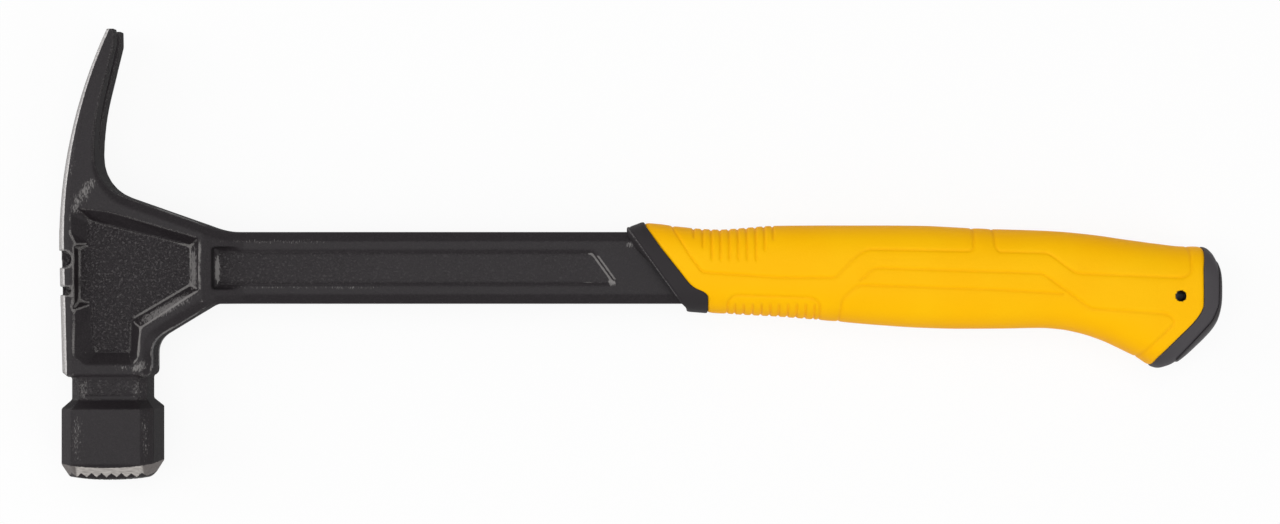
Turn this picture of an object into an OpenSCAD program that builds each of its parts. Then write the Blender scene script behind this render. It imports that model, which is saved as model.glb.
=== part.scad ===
// Framing hammer with a straight rip claw: one steel forging from claw tips to tang,
// a hard core moulded on the tang, a front collar, a soft grip, a butt cap and its pad.
// The hammer lies on its side: +X runs down the handle, +Y points from the striking face
// to the claw tips, and +Z is up, across the cheeks.
// The pieces are drawn about the point where the striking axis crosses the shank centreline,
// and the placed part has its origin under the middle of its box.

/* [Overall] */
// Length from the top of the head to the end of the butt
hammer_l = 429.7; // [420:0.1:450]

/* [Head] */
// Distance from the striking axis to the top of the head
head_back = 18.5; // [17.5:0.1:20]
// How far the top of the head leans in at its lower end
head_lean = 1.2; // [0.5:0.1:1.6]
// Distance from the striking axis to the shank side of the lower head
head_front = 15.8; // [15:0.1:17]
// Distance from the shank centreline down to the underside of the head
head_drop = 40.3; // [38.5:0.1:43]
// Thickness over the cheeks
cheek_t = 24; // [23.5:0.1:26]
// Width of the bare chamfer along the top of the head
top_chamfer = 1.5; // [1:0.1:1.7]
// Width of the forged bevel beside that chamfer
top_bevel_w = 2.7; // [2:0.1:2.8]
// Depth of that bevel
top_bevel_d = 1.1; // [0.6:0.1:1.6]
// Width of the forged bevel on the shank side of the cheeks
cheek_bevel_w = 3; // [2.4:0.1:3.1]
// Depth of the forged bevel on the shank side of the cheeks
cheek_bevel_d = 2.2; // [1.2:0.1:2.6]
// Radius of the lower corner of the head
head_corner_r = 2.5; // [1.5:0.1:3.5]
// Width of the cut at the lower end of the top of the head
low_corner_w = 2.7; // [1.5:0.1:3.4]
// Height of that cut
low_corner_h = 1.6; // [1:0.1:2.4]
// Width of the small bevels under the head and along the claw
low_edge_w = 0.8; // [0.4:0.1:1.2]
// Height of the lower corner of the web below the shank centreline
web_low_y = 26.9; // [25:0.1:29]
// Reach of the web along the underside of the shank, from the striking axis
web_low_reach = 38.2; // [36:0.1:42]
// Reach of the web along the top of the shank, from the striking axis
web_top_reach = 42.5; // [40:0.1:46]
// Radius where the lower web meets the head
web_low_r = 8; // [5:0.5:10]
// Radius where the lower web meets the shank
web_shank_r = 8; // [5:0.5:12]
// Radius where the upper web meets the shank
web_top_r = 30; // [20:1:36]

/* [Claw] */
// Height of the claw tips above the shank centreline
claw_rise = 88.4; // [84:0.1:94]
// Radius of the curve over the top of the claw
claw_top_r = 190; // [180:1:210]
// Height at which that curve starts
claw_start_y = 8; // [6:0.5:12]
// Width from the top of the head to the underside of the claw at its root
claw_root_w = 13.3; // [12.5:0.1:14.5]
// Height of the corner between the web and the claw
throat_y = 30.1; // [29:0.1:32]
// Radius in that corner
throat_r = 16; // [12:0.5:18]
// Height at which the underside of the claw turns forward
claw_bend_y = 53.4; // [52:0.1:56]
// Radius of that turn
claw_bend_r = 90; // [60:1:100]
// Thickness of the claw tips
claw_tip_t = 2.7; // [2.2:0.1:3.4]
// Length of the straight end under the claw tips
claw_tip_l = 5.6; // [4:0.1:7]
// Length of the nail slot
slot_l = 44.5; // [40:0.5:46]
// Width of the nail slot at the tips
slot_tip_w = 8.6; // [7.6:0.1:9.6]
// Width of the nail slot at its root
slot_root_w = 2.4; // [1.8:0.1:3]
// Narrowing of each side of the claw at the tips
claw_narrow = 1.2; // [0.6:0.1:2]

/* [Cheek pocket] */
// Width of the pocket in each cheek
pocket_w = 47.2; // [45:0.1:48]
// Height of the pocket in each cheek
pocket_h = 58.1; // [56:0.1:59]
// Depth of the pocket in each cheek
pocket_d = 5; // [3:0.1:5.5]
// Rim between the top of the head and the pocket
pocket_rim = 4.8; // [4.6:0.1:5.5]
// Rim between the underside of the head and the pocket
pocket_low_rim = 4.5; // [4:0.1:5.5]

/* [Nail starter] */
// Width of the nail head seat
seat_w = 6.2; // [5:0.1:6.8]
// Reach of the nail head seat in from the top of the head
seat_reach = 5; // [4:0.1:5.4]
// Height of the middle of the nail head seat above the shank centreline
seat_y = 3.2; // [2:0.1:4]
// Depth of the seats below the cheek
seat_d = 7; // [5:0.1:8]
// Width of the lower seat
low_seat_w = 3; // [2:0.1:3.6]
// Distance of the lower seat below the first
low_seat_drop = 11.7; // [10:0.1:13]
// Diameter of the nail groove along the top of the head
groove_d = 4.2; // [3:0.1:5]
// Depth of that groove
groove_depth = 1.4; // [0.8:0.1:1.8]
// Diameter of the magnet
magnet_d = 3.8; // [3:0.1:4.4]
// Length of the magnet
magnet_l = 6; // [4:0.1:8]
// Distance of the magnet below the shank centreline
magnet_drop = 20; // [16:0.5:26]
// Distance from the floor of the groove down to the end of the magnet
magnet_sink = 0.2; // [0:0.1:0.6]

/* [Neck and bell] */
// Length of the neck under the head
neck_l = 8.4; // [6.5:0.1:9.5]
// Width of the neck along the handle
neck_w = 27.9; // [26:0.1:29]
// Thickness of the neck across the cheeks
neck_t = 22.8; // [22:0.1:23.8]
// Cut at each corner of the neck
neck_cut = 3.2; // [2:0.1:5]
// Height of the shoulder above the bell
shoulder_h = 3.2; // [2.6:0.1:5]
// Width of the bell across its flats
bell_w = 34; // [33.4:0.1:35.4]
// Height of the flats of the bell
bell_h = 20.4; // [17:0.1:24]
// Cut at each corner of the bell
bell_cut = 4.2; // [4.1:0.1:5.4]
// Diameter that rounds the corners of the bell
bell_round_d = 42.4; // [41.5:0.1:43]
// Height of the chamfer round the striking face
face_chamfer_h = 5; // [3.5:0.1:6]
// Width of the striking face
face_w = 28; // [26.6:0.1:29.4]
// Cut at each corner of the striking face
face_cut = 2.8; // [2:0.1:4]
// Radius of the crown of the striking face
crown_r = 82; // [70:1:120]
// Height of the teeth in the middle of the face
tooth_h = 1.6; // [1.2:0.1:2]
// Distance from one row of teeth to the next
tooth_pitch = 2.6; // [2.2:0.1:3.2]

/* [Shank] */
// Height of the shank
shank_h = 26.7; // [25.6:0.1:27.4]
// Thickness of the shank
shank_t = 12.5; // [12:0.1:14]
// Width of the bevels along the shank
shank_bevel_w = 3.4; // [2.6:0.1:4]
// Depth of the bevels along the shank
shank_bevel_d = 2.2; // [1.6:0.1:2.8]
// Where the cheeks start to thin towards the shank, from the striking axis
taper_start = 34.5; // [34:0.1:36]
// Length over which the cheeks thin to the shank
taper_l = 15; // [12:0.5:18]
// Start of the recessed panel, from the striking axis
panel_start = 39.3; // [39:0.1:46]
// Height of the recessed panel
panel_h = 13; // [11:0.1:14]
// Depth of the recessed panel
panel_d = 0.9; // [0.5:0.1:1.4]
// Width of the slope round the recessed panel
panel_slope = 1.1; // [0.6:0.1:1.3]
// Clear stretch of the shank between the panel and the collar
panel_gap = 17; // [8:0.1:24]
// Distance from the rear edge of the collar back to the end of the full shank under it
shank_end_inset = 2.2; // [1.5:0.1:3]

/* [Tang] */
// Height of the tang
tang_h = 16; // [14:0.1:18]
// Thickness of the tang
tang_t = 7.5; // [6:0.1:10]
// Distance from the end of the tang to the end of the butt
tang_end_gap = 21; // [19:0.5:40]

/* [Grip] */
// Start of the collar on top of the shank, from the striking axis
grip_start = 191.2; // [186:0.1:200]
// Depth of the grip at the palm
grip_h = 38; // [37:0.1:40]
// Thickness of the grip at the palm
grip_t = 30; // [28:0.1:33]
// How much the collar stands proud of the grip behind it
collar_proud = 0.3; // [0.1:0.1:0.6]
// How much the butt pad stands proud of the cap round it
pad_proud = 0.6; // [0.3:0.1:0.8]
// Thickness of the soft wall over the core
grip_wall = 3.5; // [3:0.1:4]
// Thickness of the core
core_t = 16; // [13:0.1:18]
// Least length of soft grip between the collar and the core
core_gap = 4; // [3:0.1:4.5]
// Depth of the grooves in the grip
relief = 0.45; // [0.3:0.05:0.8]
// Width of the grooves round the pads of the grip
line_w = 1.1; // [0.8:0.1:1.6]
// Width of each rib groove
rib_w = 1.2; // [0.8:0.1:1.8]
// Distance from one rib groove to the next
rib_pitch = 3.26; // [2.8:0.01:3.4]
// Number of grooves in each rib field
ribs = 10; // [6:1:10]
// Start of the upper rib field, from the start of the grip
top_rib_start = 25; // [23:0.1:27]
// Start of the lower rib field, from the start of the grip
low_rib_start = 40.2; // [39:0.1:42]
// Diameter of the lanyard hole
lanyard_d = 3.9; // [3:0.1:5]
// Distance from the lanyard hole to the end of the butt
lanyard_x = 15.8; // [15:0.1:17]
// Distance of the lanyard hole below the shank centreline
lanyard_drop = 10.3; // [9.5:0.1:12]

/* [Hidden] */
// Overrun of every cut past the face that it opens
over = 1;
// Facets on true curves
fine = 64;
// Straight steps in a rounded corner, and along the claw
corner_steps = 6;
claw_steps = 16;
// Points round the grip, and how square its section is
grip_points = 32;
grip_square = 2.7;
// Overlap of the neck into the head, and how early the cut that thins the cheeks starts
joint_lap = 4;

steel = "#343134";
bare_steel = "#b9b2aa";
hard_black = "#2d2a2e";
soft_yellow = "#fdbd0f";

butt_x = hammer_l - head_back;
grip_l = butt_x - grip_start;
bell_drop = head_drop + neck_l + shoulder_h + bell_h + face_chamfer_h + tooth_h;
lanyard_at = [butt_x - lanyard_x, -lanyard_drop];

// The box of the whole hammer, about the drawing origin
box_mid_x = (butt_x - head_back) / 2;
box_mid_y = (claw_rise - bell_drop) / 2;
box_low_z = -max(bell_w, grip_t) / 2;

// Unit vector from a to b, and the vector a quarter turn to its left
function along(a, b) = (b - a) / norm(b - a);
function left(v) = [-v[1], v[0]];
function turned(v, angle) = [
  v[0] * cos(angle) - v[1] * sin(angle),
  v[0] * sin(angle) + v[1] * cos(angle)
];

// Outline moved inwards by its own width at each corner
function inset(points, widths) = let (n = len(points)) [
  for (i = [0 : n - 1])
    let (
      before = left(along(points[(i + n - 1) % n], points[i])),
      after = left(along(points[i], points[(i + 1) % n]))
    )
    points[i] + widths[i] * (before + after) / (1 + before * after)
];

// Outline with each corner of a given radius replaced by an arc
function rounded(points, radii) = let (n = len(points)) [
  for (i = [0 : n - 1])
    let (
      before = along(points[(i + n - 1) % n], points[i]),
      after = along(points[i], points[(i + 1) % n]),
      side = sign(before[0] * after[1] - before[1] * after[0]),
      bend = acos(min(1, before * after)),
      start = points[i] - before * radii[i] * tan(bend / 2),
      spoke = -side * radii[i] * left(before)
    )
    for (k = radii[i] == 0 ? [0] : [0 : corner_steps])
      radii[i] == 0
        ? points[i]
        : start - spoke + turned(spoke, side * bend * k / corner_steps)
];

// One value per corner, eased along its arc into the value of the next corner
function eased(values, radii) = let (last = len(values) - 1) [
  for (i = [0 : last])
    for (k = radii[i] == 0 ? [0] : [0 : corner_steps])
      values[i] + (values[min(i + 1, last)] - values[i]) * k / corner_steps
];

// Directions into the material at each point of an open line, as long as an inset of 1 needs
function inward(points) = let (last = len(points) - 1) [
  for (i = [0 : last])
    let (
      before = along(points[max(0, i - 1)], points[max(1, i)]),
      after = along(points[min(last - 1, i)], points[min(last, i + 1)])
    )
    left(before + after) / (1 + before * after)
];

// Solid through a stack of rings with equal numbers of points
module through(rings) {
  n = len(rings[0]);
  top = (len(rings) - 1) * n;
  polyhedron(
    points = [for (ring = rings) each ring],
    faces = concat(
      [[for (i = [0 : n - 1]) i]],
      [for (r = [0 : len(rings) - 2]) for (i = [0 : n - 1])
        each [
          [r * n + i, (r + 1) * n + i, (r + 1) * n + (i + 1) % n],
          [r * n + i, (r + 1) * n + (i + 1) % n, r * n + (i + 1) % n]
        ]
      ],
      [[for (i = [n - 1 : -1 : 0]) top + i]]
    )
  );
}

// Extrusion of a side view across the hammer, centred on its middle plane
module across(thickness) {
  linear_extrude(height = thickness, center = true) children();
}

// The same cut on both cheeks
module both_sides() {
  children();
  mirror([0, 0, 1]) children();
}

// Collar in side view, as distances from the start of the grip and from the centreline,
// in shares of the grip's height: its front edge down, then its rear edge up
collar_front_shares = [[0, 0.42], [0.008, 0.379], [0.532, -0.347], [0.592, -0.408], [0.592, -0.6]];
collar_rear_shares = [
  [0.795, -0.6], [0.795, -0.279], [0.755, -0.237], [0.658, -0.195], [0.613, -0.155],
  [0.508, -0.018], [0.353, 0.182], [0.189, 0.418], [0.14, 0.6]
];

function on_grip(share) = [grip_start + grip_h * share[0], grip_h * share[1]];
collar_front = [for (s = collar_front_shares) on_grip(s)];
collar_rear = [for (s = collar_rear_shares) on_grip(s)];

// Ends of the full shank, inside the collar
shank_low_end = [collar_rear[2][0] - shank_end_inset, -shank_h / 2];
shank_top_end = [collar_rear[7][0] - shank_end_inset / 2, shank_h / 2];

// Head and claw in side view
function claw_top_x(y) =
  claw_top_r - head_back - sqrt(pow(claw_top_r, 2) - pow(max(0, y - claw_start_y), 2));
tip_x = claw_top_x(claw_rise) + claw_tip_t;
throat_x = claw_root_w - head_back;
taper_end = taper_start + taper_l;
foot = [-head_back + head_lean, -head_drop + low_corner_h];

under_corners = [
  [foot[0] + low_corner_w, -head_drop], [head_front, -head_drop],
  [head_front, -web_low_y], [web_low_reach, -shank_h / 2], shank_low_end
];
under_radii = [0, head_corner_r, web_low_r, web_shank_r, 0];
upper_corners = [
  shank_top_end, [web_top_reach, shank_h / 2], [throat_x, throat_y],
  [throat_x, claw_bend_y], [tip_x, claw_rise - claw_tip_l], [tip_x, claw_rise]
];
upper_radii = [0, web_top_r, throat_r, claw_bend_r, 0, 0];
back_line = concat(
  [for (k = [claw_steps : -1 : 0])
    let (y = claw_start_y + (claw_rise - claw_start_y) * k / claw_steps)
    [claw_top_x(y), y]
  ],
  [foot]
);

// Bevel cut along an edge of the cheek, from the edge to a given inset and height: one value
// per point. It runs on past both of its own edges.
module bevel(points, insets, heights, widths, depths) {
  into = inward(points);
  through([
    for (i = [0 : len(points) - 1])
      let (
        slope = depths[i] / widths[i],
        outer = points[i] + (insets[i] - widths[i] - over) * into[i],
        inner = points[i] + (insets[i] + over) * into[i],
        low_z = heights[i] - depths[i] - over * slope,
        high_z = heights[i] + over * slope,
        top_z = cheek_t / 2 + 2 * over
      )
      [
        [outer[0], outer[1], low_z], [inner[0], inner[1], high_z],
        [inner[0], inner[1], top_z], [outer[0], outer[1], top_z]
      ]
  ]);
}

// Bevel that reaches up to the cheek
module cheek_bevel(points, widths, depths) {
  bevel(points, widths, [for (p = points) cheek_t / 2], widths, depths);
}

// The bevels of one cheek
claw_thin_share = 0.4;
module edge_bevels() {
  low_line = rounded(
    [
      [head_front, -head_drop - over], [head_front, -web_low_y],
      [web_low_reach, -shank_h / 2], [taper_end, -shank_h / 2]
    ],
    [0, web_low_r, web_shank_r, 0]
  );
  cheek_bevel(low_line, [for (p = low_line) cheek_bevel_w], [for (p = low_line) cheek_bevel_d]);

  upper_w = [cheek_bevel_w, cheek_bevel_w, cheek_bevel_w, low_edge_w, low_edge_w, low_edge_w];
  upper_d = [cheek_bevel_d, cheek_bevel_d, cheek_bevel_d, low_edge_w, low_edge_w, low_edge_w];
  upper_line = rounded(
    concat(
      [[taper_end, shank_h / 2]],
      [for (i = [1 : 4]) upper_corners[i]],
      [[tip_x, claw_rise + over]]
    ),
    upper_radii
  );
  cheek_bevel(upper_line, eased(upper_w, upper_radii), eased(upper_d, upper_radii));

  sole = [[-head_back, -head_drop], [head_front + over, -head_drop]];
  cheek_bevel(sole, [low_edge_w, low_edge_w], [low_edge_w, low_edge_w]);

  over_tip = [claw_top_x(claw_rise + over), claw_rise + over];
  line = concat([over_tip], back_line, [foot + (foot - [-head_back, 0]) * over / head_drop]);
  size = [for (p = line) 1 - (1 - claw_thin_share) * max(0, p[1] - claw_start_y) / claw_rise];
  cheek_bevel(
    line,
    [for (k = size) k * (top_chamfer + top_bevel_w)],
    [for (k = size) k * top_bevel_d * (top_chamfer + top_bevel_w) / top_bevel_w]
  );
  bevel(
    line,
    size * top_chamfer,
    [for (k = size) cheek_t / 2 - k * top_bevel_d],
    size * top_chamfer,
    size * top_chamfer
  );
}

module head_blank() {
  difference() {
    across(cheek_t)
      polygon(concat(
        rounded(under_corners, under_radii),
        rounded(upper_corners, upper_radii),
        back_line
      ));
    both_sides() edge_bevels();
  }
}

// Height of the web's edge above the shank's edge, blended over the length of its fillet
function web_edge(x, reach, slope, blend) =
  x > reach + blend ? 0
  : x < reach - blend ? slope * (reach - x)
  : slope * pow(reach + blend - x, 2) / (4 * blend);

top_slope = (throat_y - shank_h / 2) / (web_top_reach - throat_x);
low_slope = (web_low_y - shank_h / 2) / (web_low_reach - head_front);
top_blend = web_top_r * tan(atan(top_slope) / 2);
low_blend = web_shank_r * tan(atan(low_slope) / 2);

// What thins one cheek down to the shank, and carries the shank's bevels on to its end
thinning_shares = [0.3, 0.55, 0.8, 1];
module thinning_cut() {
  thin = (cheek_t - shank_t) / 2;
  steps = concat([-joint_lap / taper_l], thinning_shares, [(butt_x - taper_start) / taper_l]);
  through([
    for (s = steps)
      let (
        x = taper_start + taper_l * s,
        z = cheek_t / 2 - thin * min(1, s),
        high = shank_h / 2 + web_edge(x, web_top_reach, top_slope, top_blend),
        low = -shank_h / 2 - web_edge(x, web_low_reach, low_slope, low_blend),
        edge_z = z - shank_bevel_d * (shank_bevel_w + over) / shank_bevel_w
      )
      [
        [x, high + over, edge_z],
        [x, high + over, cheek_t / 2 + thin],
        [x, low - over, cheek_t / 2 + thin],
        [x, low - over, edge_z],
        [x, low + shank_bevel_w, z],
        [x, high - shank_bevel_w, z]
      ]
  ]);
}

// Cheek pocket: its rim and its floor, as shares of the pocket's width and height
rim_shares = [
  [0.05, 1], [0, 0.96], [0, 0.84], [0.025, 0.757], [0.025, 0.4],
  [0.03, 0.35], [0.03, 0.05], [0.108, 0], [0.48, 0], [0.52, 0.045],
  [0.543, 0.236], [1, 0.477], [1, 0.806], [0.27, 0.975]
];
floor_shares = [
  [0.14, 0.915], [0.129, 0.905], [0.129, 0.77], [0.045, 0.745], [0.045, 0.41],
  [0.147, 0.386], [0.174, 0.1], [0.184, 0.088], [0.435, 0.088], [0.445, 0.1],
  [0.456, 0.284], [0.922, 0.508], [0.922, 0.756], [0.3, 0.878]
];

function in_pocket(share) = [
  -head_back + pocket_rim + pocket_w * share[0],
  -head_drop + pocket_low_rim + pocket_h * share[1]
];

// A sunk shape with sloping walls, from its floor outline to the outline at the face, and
// open above that
module sunk(floor_points, rim_points, face_z, depth) {
  open = [for (i = [0 : len(rim_points) - 1])
    rim_points[i] + (rim_points[i] - floor_points[i]) * over / depth
  ];
  through([
    [for (p = floor_points) [p[0], p[1], face_z - depth]],
    [for (p = open) [p[0], p[1], face_z + over]],
    [for (p = open) [p[0], p[1], cheek_t / 2 + 2 * over]]
  ]);
}

module cheek_pocket() {
  sunk(
    [for (s = floor_shares) in_pocket(s)],
    [for (s = rim_shares) in_pocket(s)],
    cheek_t / 2,
    pocket_d
  );
}

// Nail slot between the claws, seen along the handle
module nail_slot() {
  root_y = claw_rise - slot_l + slot_root_w / 2;
  flare = (slot_tip_w - slot_root_w) / (slot_l - slot_root_w / 2);
  tip_half = (slot_tip_w + flare * over) / 2;
  translate([-head_back, 0, 0])
    rotate([90, 0, 90])
      linear_extrude(height = 2 * head_back) {
        polygon([
          [root_y, -slot_root_w / 2],
          [claw_rise + over, -tip_half],
          [claw_rise + over, tip_half],
          [root_y, slot_root_w / 2]
        ]);
        translate([root_y, 0]) circle(d = slot_root_w, $fn = fine);
      }
}

// Wedge that narrows one side of the claw towards its tips
module claw_side_cut() {
  start_y = claw_bend_y;
  run = claw_rise - start_y;
  lean = claw_narrow / run;
  translate([-head_back - over, 0, 0])
    rotate([90, 0, 90])
      linear_extrude(height = 2 * head_back)
        polygon([
          [start_y - over, cheek_t / 2 + lean * over],
          [claw_rise + over, cheek_t / 2 - claw_narrow - lean * over],
          [claw_rise + over, cheek_t / 2 + claw_narrow],
          [start_y - over, cheek_t / 2 + claw_narrow]
        ]);
}

// Seats for a nail's head, sunk into the corner of the cheek and the top of the head
module nail_seat(width, y) {
  x = -head_back + seat_reach - width / 2;
  translate([x, y, cheek_t / 2 - seat_d]) cylinder(d = width, h = seat_d + over, $fn = fine);
  translate([x - head_back, y - width / 2, cheek_t / 2 - seat_d])
    cube([head_back, width, seat_d + over]);
}

module nail_groove() {
  translate([-head_back - groove_d / 2 + groove_depth, seat_y, 0])
    rotate([90, 0, 0])
      cylinder(d = groove_d, h = seat_y + head_drop + over, $fn = fine);
}

// Magnet from a given outer end to its fixed inner end
module magnet_bar(outer_x) {
  inner_x = -head_back + groove_depth + magnet_sink + magnet_l;
  translate([outer_x, -magnet_drop, 0])
    rotate([0, 90, 0])
      cylinder(d = magnet_d, h = inner_x - outer_x, $fn = fine);
}

// Square with cut corners, as the points of a ring at a depth below the head
function cut_square(width, thickness, cut, z) = [
  for (q = [[1, 1], [-1, 1], [-1, -1], [1, -1]])
    for (first = q[0] * q[1] > 0 ? [true, false] : [false, true])
      [
        q[0] * (width / 2 - (first ? 0 : cut)),
        q[1] * (thickness / 2 - (first ? cut : 0)),
        z
      ]
];

// Neck, shoulder, bell and striking face, drawn downwards from the underside of the head
module neck_and_bell() {
  shoulder_z = neck_l;
  bell_z = shoulder_z + shoulder_h;
  chamfer_z = bell_z + bell_h;
  face_z = chamfer_z + face_chamfer_h;
  translate([0, -head_drop, 0])
    rotate([90, 0, 0])
      difference() {
        intersection() {
          through([
            cut_square(neck_w, neck_t, neck_cut, -joint_lap),
            cut_square(neck_w, neck_t, neck_cut, shoulder_z),
            cut_square(bell_w, bell_w, bell_cut, bell_z),
            cut_square(bell_w, bell_w, bell_cut, chamfer_z),
            cut_square(face_w, face_w, face_cut, face_z),
            cut_square(face_w, face_w, face_cut, face_z + tooth_h)
          ]);
          translate([0, 0, -joint_lap - over])
            cylinder(d = bell_round_d, h = face_z + tooth_h + joint_lap + 2 * over, $fn = fine);
          translate([0, 0, face_z + tooth_h - crown_r]) sphere(r = crown_r, $fn = 2 * fine);
        }
        translate([0, 0, face_z + tooth_h]) tooth_cuts();
      }
}

// Two crossing sets of V grooves that leave rows of pyramids on the face
tooth_depth_share = 0.9;
module tooth_cuts() {
  rows = ceil(face_w / sqrt(2) / tooth_pitch);
  half_v = tooth_pitch / 2;
  deep = tooth_h * tooth_depth_share;
  for (turn = [45, -45])
    rotate([0, 0, turn])
      for (row = [-rows : rows - 1])
        translate([(row + 1 / 2) * tooth_pitch, face_w, 0])
          rotate([90, 0, 0])
            linear_extrude(height = 2 * face_w)
              polygon([
                [0, -deep],
                [half_v * (1 + over / deep), over],
                [-half_v * (1 + over / deep), over]
              ]);
}

// Section of the shank, as seen along it, with its height along the first axis
module shank_section() {
  flat = shank_h / 2 - shank_bevel_w;
  edge = shank_t / 2 - shank_bevel_d;
  polygon([
    [shank_h / 2, -edge], [shank_h / 2, edge], [flat, shank_t / 2], [-flat, shank_t / 2],
    [-shank_h / 2, edge], [-shank_h / 2, -edge], [-flat, -shank_t / 2], [flat, -shank_t / 2]
  ]);
}

// The full shank ends under the collar, and the tang runs on from there
tang_start = grip_start + shank_end_inset;
tang_end = butt_x - tang_end_gap;

module tang() {
  translate([tang_start, -tang_h / 2, -tang_t / 2]) cube([tang_end - tang_start, tang_h, tang_t]);
}

// Room for the steel in the collar
module steel_in_collar() {
  start_x = grip_start - grip_h;
  intersection() {
    translate([start_x, 0, 0])
      rotate([90, 0, 90])
        linear_extrude(height = butt_x - start_x) shank_section();
    across(2 * shank_t)
      polygon([
        [start_x, -shank_h / 2], shank_low_end, shank_top_end, [start_x, shank_h / 2]
      ]);
  }
  tang();
}

// Recessed panel on one side of the shank, with its slanted end beside the collar
module shank_panel() {
  half = panel_h / 2;
  slant = (collar_front[2] - collar_front[1])[0] / (collar_front[1] - collar_front[2])[1];
  end_top = collar_front[1][0] + slant * (collar_front[1][1] - half) - panel_gap - panel_slope;
  rim = [
    [panel_start, -half], [end_top + 2 * half * slant, -half],
    [end_top, half], [panel_start, half]
  ];
  sunk(inset(rim, [for (p = rim) panel_slope]), rim, shank_t / 2, panel_d);
}

module forged_head_and_tang() {
  color(steel)
    difference() {
      union() {
        difference() {
          head_blank();
          both_sides() thinning_cut();
          both_sides() claw_side_cut();
        }
        tang();
        neck_and_bell();
      }
      nail_slot();
      both_sides() cheek_pocket();
      both_sides() nail_seat(seat_w, seat_y);
      both_sides() nail_seat(low_seat_w, seat_y - low_seat_drop);
      nail_groove();
      magnet_bar(-head_back - over);
      both_sides() shank_panel();
    }
}

module nail_magnet() {
  color(bare_steel) magnet_bar(-head_back + groove_depth + magnet_sink);
}

// Grip sections: place along the grip, top, bottom and thickness, as shares of the grip's
// length, depth and thickness
grip_shares = [
  [-0.006, 0.382, -0.39, 0.66], [0.004, 0.394, -0.397, 0.69], [0.016, 0.418, -0.4, 0.73],
  [0.029, 0.441, -0.403, 0.76], [0.057, 0.43, -0.41, 0.8], [0.091, 0.404, -0.418, 0.84],
  [0.125, 0.384, -0.432, 0.86], [0.158, 0.376, -0.447, 0.88], [0.193, 0.389, -0.459, 0.9],
  [0.25, 0.413, -0.476, 0.93], [0.336, 0.416, -0.516, 0.97], [0.432, 0.416, -0.563, 1],
  [0.498, 0.413, -0.587, 1], [0.566, 0.395, -0.597, 0.98], [0.633, 0.379, -0.595, 0.95],
  [0.701, 0.366, -0.589, 0.93], [0.735, 0.355, -0.603, 0.93], [0.769, 0.337, -0.642, 0.94],
  [0.804, 0.313, -0.708, 0.95], [0.837, 0.284, -0.795, 0.97], [0.87, 0.258, -0.895, 0.98],
  [0.886, 0.245, -0.953, 0.98], [0.899, 0.236, -0.975, 0.98], [0.915, 0.224, -0.955, 0.98],
  [0.932, 0.214, -0.902, 0.97], [0.965, 0.21, -0.736, 0.95], [0.978, 0.195, -0.662, 0.93],
  [0.987, 0.155, -0.606, 0.9], [0.995, 0.075, -0.536, 0.86], [1, 0.005, -0.444, 0.76]
];

// Section through the grip: a squared oval, grown all round by a given amount
function grip_ring(s, grow) =
  let (
    mid = grip_h * (s[1] + s[2]) / 2,
    half_h = grip_h * (s[1] - s[2]) / 2 + grow,
    half_t = grip_t * s[3] / 2 + grow
  )
  [for (k = [0 : grip_points - 1])
    let (c = cos(360 * k / grip_points), d = sin(360 * k / grip_points))
    [
      grip_start + grip_l * s[0],
      mid + half_h * sign(c) * pow(abs(c), 2 / grip_square),
      half_t * sign(d) * pow(abs(d), 2 / grip_square)
    ]
  ];

module grip_form(grow) {
  through([for (s = grip_shares) grip_ring(s, grow)]);
}

// Front edge of the butt cap and of its pad in side view, as distances from the end of the
// butt and from the centreline, in shares of the grip's depth: from the top down
cap_front_shares = [
  [-0.16, 0.6], [-0.16, 0.2], [-0.19, -0.02], [-0.19, -0.382], [-0.226, -0.455],
  [-0.287, -0.534], [-0.476, -0.724], [-0.624, -0.882], [-0.663, -0.955], [-0.663, -1.2]
];
pad_front_shares = [
  [-0.03, 0.6], [-0.03, 0.045], [-0.042, -0.38], [-0.1, -0.525], [-0.44, -0.905],
  [-0.405, -0.93], [-0.405, -1.2]
];
function on_butt(share) = [butt_x + grip_h * share[0], grip_h * share[1]];
cap_front = [for (s = cap_front_shares) on_butt(s)];
pad_front = [for (s = pad_front_shares) on_butt(s)];

// Reversed list of points
function back(points) = [for (i = [len(points) - 1 : -1 : 0]) points[i]];

// Core in side view: inside the grip by its wall, ending on the butt cap
core_first = 7;
core_last = 20;
core_end = 24;
function core_x(i) = max(grip_start + grip_l * grip_shares[i][0], collar_rear[1][0] + core_gap);
core_outline = concat(
  [for (i = [core_first : core_last]) [core_x(i), grip_h * grip_shares[i][2] + grip_wall]],
  [
    [cap_front[3][0] - grip_wall, cap_front[4][1]],
    [cap_front[3][0], cap_front[3][1] + grip_wall / 2],
    [cap_front[2][0], cap_front[2][1] - grip_wall / 2],
    [cap_front[2][0] - grip_wall, grip_h * grip_shares[core_end][1] - grip_wall]
  ],
  [for (i = [core_last : -1 : core_first]) [core_x(i), grip_h * grip_shares[i][1] - grip_wall]]
);

module lanyard_hole() {
  translate([lanyard_at[0], lanyard_at[1], -grip_t])
    cylinder(d = lanyard_d, h = 2 * grip_t, $fn = fine);
}

module grip_core() {
  color(hard_black)
    difference() {
      across(core_t) polygon(core_outline);
      tang();
      lanyard_hole();
    }
}

module front_collar() {
  color(hard_black)
    difference() {
      intersection() {
        grip_form(collar_proud);
        across(2 * grip_t) polygon(concat(collar_front, collar_rear));
      }
      steel_in_collar();
    }
}

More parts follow.
